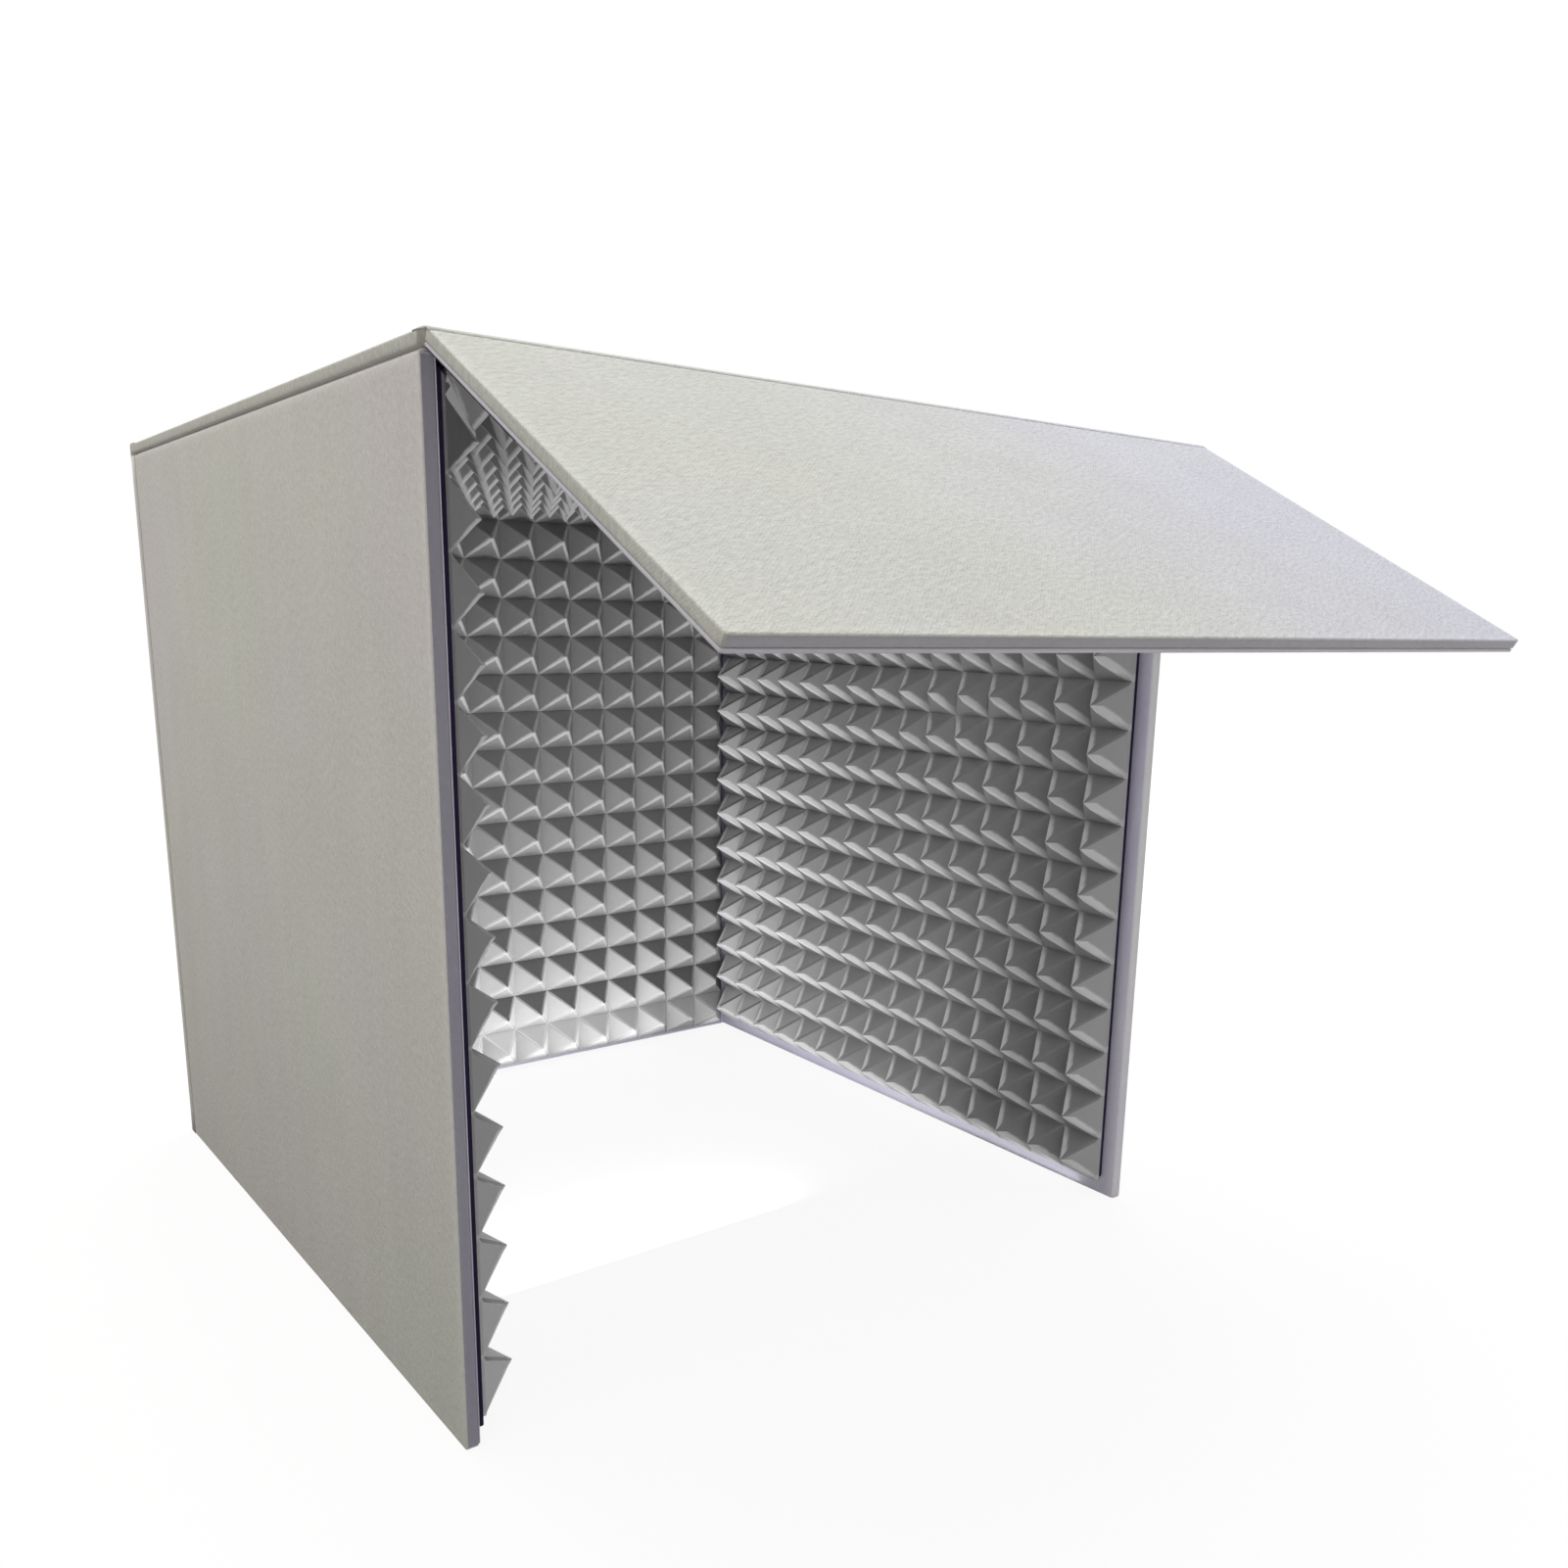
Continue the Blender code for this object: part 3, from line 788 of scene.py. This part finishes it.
def closeFoam(builder):
    # Cut sides and a flat back close the mat
    rim = [edge for edge in builder.edges if edge.is_boundary]
    sides = bmesh.ops.extrude_edge_only(builder, edges=rim)["geom"]
    for part in sides:
        if isinstance(part, bmesh.types.BMVert):
            part.co.z = -foamSpec["base"]
    hem = [part for part in sides if isinstance(part, bmesh.types.BMEdge) and part.is_boundary]
    bmesh.ops.holes_fill(builder, edges=hem)
    faceOutwards(builder)


def ridgeFade(fade, u, v):
    # The painted ridge highlight is weaker towards one edge or corner of a mat
    away = math.hypot((u - fade["from"][0]) * fade["stretch"][0], (v - fade["from"][1]) * fade["stretch"][1])
    return fade["least"] + (1.0 - fade["least"]) * ramp(away, fade["near"], fade["far"] - fade["near"])


def creaseShare(crease, u, v):
    # How strongly a point is pressed into a crease that runs between two places
    start = Vector(crease["start"])
    along = Vector(crease["stop"]) - start
    offset = Vector((u, v)) - start
    share = offset.dot(along) / along.length_squared
    if share <= 0.0 or share >= 1.0:
        return 0.0
    across = abs(offset.x * along.y - offset.y * along.x) / along.length
    return math.sin(math.pi * share) ** 0.7 * math.exp(-((across / crease["width"]) ** 2))


def bendFoam(builder, spec, halfU, halfV):
    # Lays the mat in its place on the board, swollen and creased, and says how strong each ridge's painted
    # highlight is
    ridge = builder.verts.layers.float["ridge"]
    foot = foamSpec["lift"] + foamSpec["base"]
    for vertex in builder.verts:
        x, y, z = vertex.co
        point = Vector((x + spec["u"] + halfU, (y + halfV) * spec["stretch"] + spec["v"], z + foot))
        plain = 1.0
        if "fade" in spec:
            plain = ridgeFade(spec["fade"], x + spec["u"] + halfU, y + spec["v"] + halfV)
        if "crease" in spec:
            crease = spec["crease"]
            pressed = creaseShare(crease, point.x, point.y)
            point.z += ((crease["level"] - point.z) * crease["flattening"] + crease["swell"]) * pressed
            # The painted ridge highlight is weaker in the crease
            plain *= 1.0 - crease["dulling"] * pressed
        # Near the back corner the painted ridge highlight is stronger
        if "hingeTone" in spec:
            plain *= 1.0 + spec["hingeTone"]["ridges"] * (1.0 - ramp(point.y, *spec["hingeTone"]["paleOver"]))
        vertex[ridge] = plain
        swell = uneven((point.x, point.y, 0.0), 14.0, foamSpec["warp"], spec["seed"])
        share = ramp(z, foamSpec["peak"] * -0.2, foamSpec["peak"])  # the flat back stays flat
        vertex.co = point + Vector((0.0, 0.0, (swell - foamSpec["warp"] * 0.4) * share))


def onCutSide(offset, half, slope):
    return abs(offset) > half - foamSpec["pitch"] / 2 and slope * offset > 0 and abs(slope) > 0.75


def backPaleness(pale, middle, normal, spec):
    # In the lower rows each side of a pyramid gets its own painted light or painted shade
    tone = spec["lowTone"]
    if middle.z <= foamSpec["lift"]:
        return pale
    rise = 1.0 - ramp(middle.y, *tone["over"])
    lowU, highU, lowV, highV = tone["sides"]
    if abs(normal.x) > steep:
        pale += (highU if normal.x > 0 else lowU) * rise
    if abs(normal.y) > steep:
        pale += (highV if normal.y > 0 else lowV) * rise
    # The lowest row gets painted light from the floor, on its upper faces too
    if middle.y < spec["v"] + foamSpec["pitch"]:
        if normal.y > 0.4:
            pale = tone["upper"] * max(1.0 - ramp(middle.x, *tone["upperOver"]), 0.4)
        elif normal.x < -steep:
            pale = tone["leftward"] * ramp(middle.x, *tone["leftwardOver"])
    return pale


def leftPaleness(pale, middle, normal, spec):
    # The lowest teeth at the front get painted light, on their upper faces most of all, and faces near the
    # ceiling get painted shade
    tone = spec["frontTone"]
    if middle.y <= spec["v"] + foamSpec["pitch"] * (spec["rows"] - 1):
        return pale
    rise = 1.0 - ramp(middle.x, spec["u"], tone["over"])
    pale *= tone["ceiling"] + (tone["bottom"] - tone["ceiling"]) * rise
    if normal.x > steep:
        pale = tone["upper"] * min(rise * 2.0, 1.0)
    if middle.x > tone["shadedFrom"] and normal.z > 0.3:
        pale = shaded
    return pale


def rightPaleness(pale, middle, normal, spec):
    # Beside the back corner the upper and the forward faces get painted light and the others painted shade
    tone = spec["hingeTone"]
    if normal.x < -steep or normal.y > steep:
        return pale + tone["pale"] * (1.0 - ramp(middle.y, *tone["paleOver"]))
    return pale - tone["dark"] * (1.0 - ramp(middle.y, *tone["darkOver"]))


def shadeFoam(builder, spec, halfU, halfV):
    # Cut sides are paler, and three of the mats have stretches of painted light and painted shade
    rim = builder.faces.layers.float.new("rim")
    builder.normal_update()
    for face in builder.faces:
        middle, normal = face.calc_center_median(), face.normal
        cutU = onCutSide(middle.x - spec["u"] - halfU, halfU, normal.x)
        cutV = onCutSide(middle.y - spec["v"] - halfV, halfV, normal.y)
        face[rim] = 1.0 if cutU or cutV else 0.0
        if "paleness" in spec:
            face[rim] = spec["paleness"](face[rim], middle, normal, spec)
    return rim


def cornerWedge(builder, corners):
    # Foam pressed into the notch between this mat's last tooth and the ceiling's first
    front = [builder.verts.new(point) for point in corners]
    behind = [builder.verts.new(Vector(point) + Vector((-0.0004, 0.009, 0.0004))) for point in corners]
    faces = [builder.faces.new(front), builder.faces.new(behind[::-1]), *joinRings(builder, (behind, front))]
    bmesh.ops.recalc_face_normals(builder, faces=faces)
    return faces


def foamMat(name, spec, place):
    carrier = grownFoam(name, spec)
    builder = bmesh.new()
    builder.from_mesh(carrier.data)
    closeFoam(builder)
    halfU = foamSpec["pitch"] * spec["columns"] / 2
    halfV = foamSpec["pitch"] * spec["rows"] / 2
    bendFoam(builder, spec, halfU, halfV)
    rim = shadeFoam(builder, spec, halfU, halfV)
    if "cut" in spec:
        side, distance = spec["cut"]
        trim(builder, Vector(side) * distance, Vector(side))
    builder.transform(place)
    for point, normal in spec["mitres"]:
        trim(builder, point, normal)
    # The wedge is painted in shade
    if "wedge" in spec:
        for face in cornerWedge(builder, spec["wedge"]):
            face[rim] = shaded
    # Cut sides and the flat back have no ridges
    cell = builder.loops.layers.uv["cell"]
    for face in builder.faces:
        if all(loop[cell].uv.length < 1e-5 for loop in face.loops):
            for loop in face.loops:
                loop[cell].uv = (1.0, 0.0)
    builder.to_mesh(carrier.data)
    builder.free()
    return carrier


def mitres():
    # Planes at 45 degrees through the inner corners, as (point, direction cut away) for each mat
    gap = 0.00015
    x = halfWidth - booth["board"]
    y = booth["depth"] / 2 - booth["board"] + booth["shift"]
    z = booth["height"] - booth["board"]
    hinge = Vector((halfWidth, rear, 0))
    lean = Matrix.Translation(hinge) @ Matrix.Rotation(-booth["lean"], 4, "Z") @ Matrix.Translation(-hinge)
    still = Matrix.Identity(4)
    corners = (
        ("left", "back", still, (-x, y, 0), (1, 1, 0)),
        ("right", "back", lean, (x, y, 0), (-1, 1, 0)),
        ("left", "top", still, (-x, 0, z), (1, 0, 1)),
        ("right", "top", lean, (x, 0, z), (-1, 0, 1)),
        ("back", "top", still, (0, y, z), (0, -1, 1)),
    )
    planes = {"back": [], "left": [], "right": [], "top": []}
    for first, second, turn, point, toward in corners:
        point = turn @ Vector(point)
        toward = (turn.to_3x3() @ Vector(toward)).normalized()
        planes[first].append((point - toward * gap, toward))
        planes[second].append((point + toward * gap, -toward))
    return planes


cutPlanes = mitres()
module = pyramidModule()
foamGroup = foamTree()
full = foamSpec["pitch"] * foamSpec["count"]
oneMore = foamSpec["count"] + 1
ceiling = 0.3906
# Each mat's near corner in u and v, and how far its backing sheet reaches past it
# on the four sides (low u, high u, low v, high v)
matPlaces = {
    "back": {
        "u": -full / 2,
        "v": 0.0043,
        "seed": 4,
        "rows": oneMore,
        "stretch": 0.98,
        "edges": (0.002, 0.002, -0.0008, -0.010),
        "cut": ((0, 1, 0), ceiling - 0.0016),
        "fade": {"from": (0.0, 0.0), "stretch": (0.0, 1.0), "near": 0.04, "far": 0.32, "least": 0.2},
        "paleness": backPaleness,
        "lowTone": {
            "sides": (1.0, 1.6, 0.0, -1.0),  # towards low u, high u, low v and high v
            "over": (0.03, 0.2),
            "upper": 2.0,
            "upperOver": (-0.01, 0.2),
            "leftward": 1.3,
            "leftwardOver": (-0.02, 0.17),
        },
    },
    "left": {
        "u": 0.0075,
        "v": booth["depth"] - 0.0065 - full,
        "seed": 9,
        "columns": oneMore,
        "edges": (0.002, -0.017, 0.002, 0.0036),
        "cut": ((1, 0, 0), ceiling),
        "fade": {"from": (0.400, 0.0), "stretch": (1.0, 0.0), "near": 0.018, "far": 0.022, "least": 0.0},
        "paleness": leftPaleness,
        "frontTone": {"bottom": 3.6, "ceiling": 0.9, "over": 0.16, "upper": 4.6, "shadedFrom": 0.368},
        "wedge": (
            (-0.1894, -0.1084, 0.3812),
            (-0.1722, -0.0958, 0.3690),
            (-0.1722, -0.0951, 0.3733),
            (-0.1872, -0.1079, 0.3896),
        ),
    },
    "right": {
        "u": -0.0095 - full - foamSpec["pitch"],
        "v": booth["depth"] - 0.008 - full,
        "seed": 14,
        "columns": oneMore,
        "edges": (-0.016, -0.0006, 0.002, -0.0006),
        "cut": ((-1, 0, 0), ceiling),
        "fade": {"from": (0.0, 0.0), "stretch": (0.8, 1.0), "near": 0.03, "far": 0.15, "least": 0.3},
        "paleness": rightPaleness,
        "hingeTone": dict(pale=1.4, ridges=0.5, paleOver=(0.02, 0.15), dark=0.8, darkOver=(0.02, 0.3)),
        "crease": dict(
            start=(-0.246, 0.206), stop=(-0.279, 0.338), width=0.0075, level=0.0205, flattening=0.42,
            swell=0.0008, dulling=0.35,
        ),
    },
    "top": dict(u=-full / 2, v=booth["depth"] - 0.007 - full, seed=21, edges=(0.002, 0.002, 0.002, 0.0052)),
}
# The backing reaches past the foam so that its near-black colour shows as a painted shadow line
backingShape = dict(
    w=(0.0063, 0.0089), radius=0.0003, corner=0.0015, perSide=24, waver=0.0001, cloth="backingFelt",
)

for panel, spec in matPlaces.items():
    spec = {"rows": foamSpec["count"], "columns": foamSpec["count"], "stretch": 1.0, **spec}
    spec.update(mitres=cutPlanes[panel], skin=foamSkins[panel])
    shown[panel + "Foam"] = foamMat(panel + "Foam", spec, places[panel])
    lowU, highU, lowV, highV = spec["edges"]
    sheet = {
        **backingShape,
        "u": (spec["u"] - lowU, spec["u"] + foamSpec["pitch"] * spec["columns"] + highU),
        "v": (spec["v"] - lowV, spec["v"] + foamSpec["pitch"] * spec["rows"] + highV),
        "seed": spec["seed"] + 0.5,
    }
    if panel == "top":
        inverse = places["top"].inverted()
        sheet["cuts"] = [(inverse @ point, inverse.to_3x3() @ normal) for point, normal in cutPlanes["top"]]
    shown[panel + "Backing"] = roundedSheet(panel + "Backing", sheet, places[panel])
bpy.data.objects.remove(module, do_unlink=True)
print("foam laid")


# Cloth hinges

hingeSpec = {"thickness": 0.0006, "proud": 0.00025, "leg": 0.0085, "radius": 0.0014, "endGap": 0.0005}
foldSpec = {"hold": 0.0038, "proud": 0.00008, "cloth": 0.0007}


def ribbon(name, profile, span, place, steps, cloth):
    # A closed strip: the profile's points (v, w, paleness of a painted highlight) swept along u
    lengths = [0.0]
    for (v0, w0, pale0), (v1, w1, pale1) in zip(profile, profile[1:]):
        lengths.append(lengths[-1] + math.hypot(v1 - v0, w1 - w0))
    rings = []
    for step in range(steps + 1):
        u = span[0] + (span[1] - span[0]) * step / steps
        rings.append([((u, v, w), pale, (u, length)) for (v, w, pale), length in zip(profile, lengths)])
    builder = clothMesh(rings, (0, -1))
    faceOutwards(builder)
    return newPiece(name, builder, cloths[cloth], place=place)


def cornerProfile():
    # Round an outer corner: down one face, round the corner and along the other.
    # v runs along the moving board's outer face from the corner, w into its depth.
    leg, radius = hingeSpec["leg"], hingeSpec["radius"]
    outside = -hingeSpec["proud"]
    inside = outside + hingeSpec["thickness"]

    def bend(face, pale):
        turns = [math.radians(90.0 * step / 6) for step in range(7)]
        r = radius - face
        return [(face + r * (1 - math.sin(turn)), face + r * (1 - math.cos(turn)), pale) for turn in turns]

    # The outer bend gets a full painted highlight, the inner bend a faint one
    outer = [(leg, outside, 0.0), *bend(outside, 1.0), (outside, leg, 0.0)]
    return outer + [(inside, leg, 0.0), *bend(inside, 0.2)[::-1], (leg, inside, 0.0)]


def foldProfile():
    # Cloth over the gap between the top and the flap, with a soft filling between their edges
    depth, pivot, droop = booth["depth"], booth["fold"], booth["droop"]
    hold, proud = foldSpec["hold"], foldSpec["proud"]
    under = foldSpec["cloth"] - proud

    def onFlap(v, w):
        return (pivot + v * math.cos(droop) - w * math.sin(droop), v * math.sin(droop) + w * math.cos(droop))

    outer = [(depth - hold, -proud), (depth, -proud), (pivot - 0.0024, -proud), (pivot - 0.0010, 0.0)]
    outer += [(pivot + 0.0002, 0.0002), onFlap(0.0014, -proud * 0.6), onFlap(hold, -proud)]
    inner = [onFlap(hold, under), onFlap(0.0008, under), onFlap(0.0007, 0.0022), onFlap(0.0006, 0.0043)]
    inner += [(depth + 0.0028, 0.0042), (depth + 0.0002, 0.0046), (depth + 0.0001, 0.0025)]
    inner += [(depth + 0.0001, under), (depth - hold, under)]
    # The outer cloth gets a half painted highlight, the inner cloth a faint one
    return [(v, w, 0.5) for v, w in outer] + [(v, w, 0.1) for v, w in inner]


rightUpright = places["right"] @ Matrix.Rotation(booth["lean"], 4, "X").inverted()
endGap = hingeSpec["endGap"]
# Each hinge's profile, span in u, place, steps along it and cloth
hinges = dict(
    left=(cornerProfile(), (endGap, wallTop), places["left"], 30, "outerCloth"),
    right=(cornerProfile(), (-wallTop, -endGap), rightUpright, 30, "outerCloth"),
    top=(cornerProfile(), (-halfWidth, halfWidth), places["top"], 30, "outerCloth"),
    flap=(foldProfile(), (-halfWidth, halfWidth), places["top"], 40, "flapCloth"),
)
for panel, details in hinges.items():
    shown[panel + "Hinge"] = ribbon(panel + "Hinge", *details)
print("hinges sewn")


# What each piece moves with and which solids it stands for

slotOf = dict(Cover="cover_cloth", Lining="lining_cloth", Board="board", Foam="foam", Backing="backing")
for panel, body in bodyOf.items():
    for part, slotName in slotOf.items():
        piece = shown.get(panel + part)
        if piece is None:
            continue
        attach(piece, body)
        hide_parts(panel + "_" + part.lower())

bendRadius = hingeSpec["radius"]
# The two bodies of each hinge, the board whose place is used, and where the bend begins and ends in u, v and w
hingeJobs = dict(
    left=("back_panel", "left_panel", "left", (0.1, 0.0, bendRadius), (0.1, bendRadius, 0.0)),
    right=("back_panel", "right_panel", "right", (-0.1, 0.0, bendRadius), (-0.1, bendRadius, 0.0)),
    top=("back_panel", "top_panel", "top", (0.0, 0.0, bendRadius), (0.0, bendRadius, 0.0)),
    flap=("top_panel", "front_flap", "top", (0.0, 0.4003, 0.0), (0.0, 0.4071, 0.0)),
)
for panel, (firstBody, secondBody, board, begin, stop) in hingeJobs.items():
    piece = shown[panel + "Hinge"]
    start, end = (tuple(places[board] @ Vector(point)) for point in (begin, stop))
    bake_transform(piece, firstBody, secondBody, start=start, end=end)
    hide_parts(panel + "_hinge_cloth")
print("pieces joined to the frame")


# Camera, taken at the photograph's viewing angle

cameraSpec = {
    "place": (-0.378148, -0.625612 + booth["shift"], 0.312608),
    "yaw": math.radians(38.10943),
    "pitch": math.radians(-12.92990),
    "roll": math.radians(0.99592),
    "focal": 1342.47894,  # this and the next two are in the photograph's pixels
    "centre": (812.25681, 940.85249),
    "image": 1601.0,
    "sensor": 36.0,
}


def makeCamera(spec):
    yaw, pitch, roll, image = spec["yaw"], spec["pitch"], spec["roll"], spec["image"]
    forward = Vector((math.sin(yaw) * math.cos(pitch), math.cos(yaw) * math.cos(pitch), math.sin(pitch)))
    level = Vector((math.cos(yaw), -math.sin(yaw), 0.0))
    rise = level.cross(forward)
    right = math.cos(roll) * level + math.sin(roll) * rise
    up = -math.sin(roll) * level + math.cos(roll) * rise
    data = bpy.data.cameras.new("photoCamera")
    data.sensor_width = spec["sensor"]
    data.lens = spec["focal"] * spec["sensor"] / image
    data.shift_x = (image / 2 - spec["centre"][0]) / image
    data.shift_y = (spec["centre"][1] - image / 2) / image
    data.clip_start = 0.01
    camera = bpy.data.objects.new("photoCamera", data)
    turn = Matrix((right, up, -forward)).transposed().to_4x4()
    camera.matrix_world = Matrix.Translation(spec["place"]) @ turn
    scene.collection.objects.link(camera)
    scene.camera = camera


makeCamera(cameraSpec)


# Floor, world and lamps

floorSpec = {
    "halfSide": 6.0,
    "paper": (0.70, 0.69, 0.68),
    "dimOver": (-0.9, -0.5),  # the light thrown up weakens over this stretch in x
    "dim": 0.12,
    "dimEnd": -0.2,
    "seen": (0.12, 0.12, 0.12, 1.0),
    "glow": (0.90, 1.0),  # beside the booth and away from it
    "glowOver": (0.35, 1.1),
}


def makeFloor(spec):
    builder = bmesh.new()
    bmesh.ops.create_grid(builder, x_segments=2, y_segments=2, size=spec["halfSide"])
    made, tree, shader = newMaterial("studioPaper", 0.95)
    place = addNode(tree, "ShaderNodeTexCoord").outputs["Object"]
    # Paper that lights the booth from below, less so beside the left board
    side = splitNode(place)["X"]
    dim = rampNode(side, spec["dimOver"], (1.0, spec["dim"]))
    bounce = calc("MAXIMUM", dim, calc("GREATER_THAN", side, spec["dimEnd"]))
    paper = addNode(tree, "ShaderNodeCombineXYZ", enumerate(spec["paper"])).outputs[0]
    fillNode(shader, {"Base Color": vectorNode("SCALE", paper, bounce)})
    # What the camera sees glows by itself
    far = addNode(tree, "ShaderNodeVectorMath", {0: place}, operation="LENGTH").outputs["Value"]
    strength = rampNode(far, spec["glowOver"], spec["glow"], "SMOOTHSTEP")
    glow = addNode(tree, "ShaderNodeEmission", {"Strength": strength}).outputs[0]
    seen = addNode(tree, "ShaderNodeBsdfDiffuse", {"Color": spec["seen"]}).outputs[0]
    both = addNode(tree, "ShaderNodeAddShader", {0: seen, 1: glow}).outputs[0]
    camera = addNode(tree, "ShaderNodeLightPath").outputs["Is Camera Ray"]
    choose = addNode(tree, "ShaderNodeMixShader", {0: camera, 1: shader.outputs[0], 2: both})
    fillNode(tree.nodes["Material Output"], {"Surface": choose.outputs[0]})
    newPiece("studioFloor", builder, made)


def makeWorld(strength):
    # White to the camera and in reflections, dimmer as a light
    world = bpy.data.worlds.new("studioWorld")
    scene.world = world
    world.use_nodes = True
    tree = world.node_tree
    rays = addNode(tree, "ShaderNodeLightPath").outputs
    plain = calc("MAXIMUM", rays["Is Camera Ray"], rays["Is Glossy Ray"])
    plain = calc("MAXIMUM", plain, rays["Is Transmission Ray"])
    level = calc("MULTIPLY_ADD", plain, 1.0 - strength, strength)
    fillNode(tree.nodes["Background"], {"Color": (1.0, 1.0, 1.0, 1.0), "Strength": level})


def softLamp(name, place, target, size, power, colour=(1.0, 1.0, 1.0)):
    data = bpy.data.lights.new(name, "AREA")
    data.shape = "RECTANGLE"
    data.size, data.size_y = size
    data.energy = power
    data.color = colour
    lamp = bpy.data.objects.new(name, data)
    lamp.location = place
    lamp.rotation_euler = (Vector(target) - Vector(place)).to_track_quat("-Z", "Y").to_euler()
    lamp.visible_camera = False
    scene.collection.objects.link(lamp)


# Each lamp's place, target, size, power and colour
lamps = dict(
    overhead=((0.15, 0.35, 2.3), (0.0, -0.1, 0.35), (2.0, 2.0), 34.0, (0.995, 1.0, 0.99)),
    leftFill=((-2.3, 0.30, 1.3), (-0.2, 0.1, 0.2), (1.4, 1.4), 6.5, (1.0, 0.88, 0.72)),
    cornerGlow=((-0.02, 0.20, 0.0012), (-0.02, 0.20, 1.0), (0.28, 0.12), 0.28),
    cabinFill=((-0.05, -0.02, 0.016), (-0.05, 0.28, 0.11), (0.16, 0.024), 0.40),
    footGlow=((0.177, 0.09, 0.0008), (0.177, 0.09, 1.0), (0.012, 0.36), 0.02),
    ceilingFill=((-0.02, 0.02, 0.366), (-0.02, 0.02, 0.0), (0.24, 0.20), 0.13),
)
makeFloor(floorSpec)
makeWorld(0.50)
for name, details in lamps.items():
    softLamp(name, *details)

scene.view_settings.view_transform = "Standard"
print("studio set")
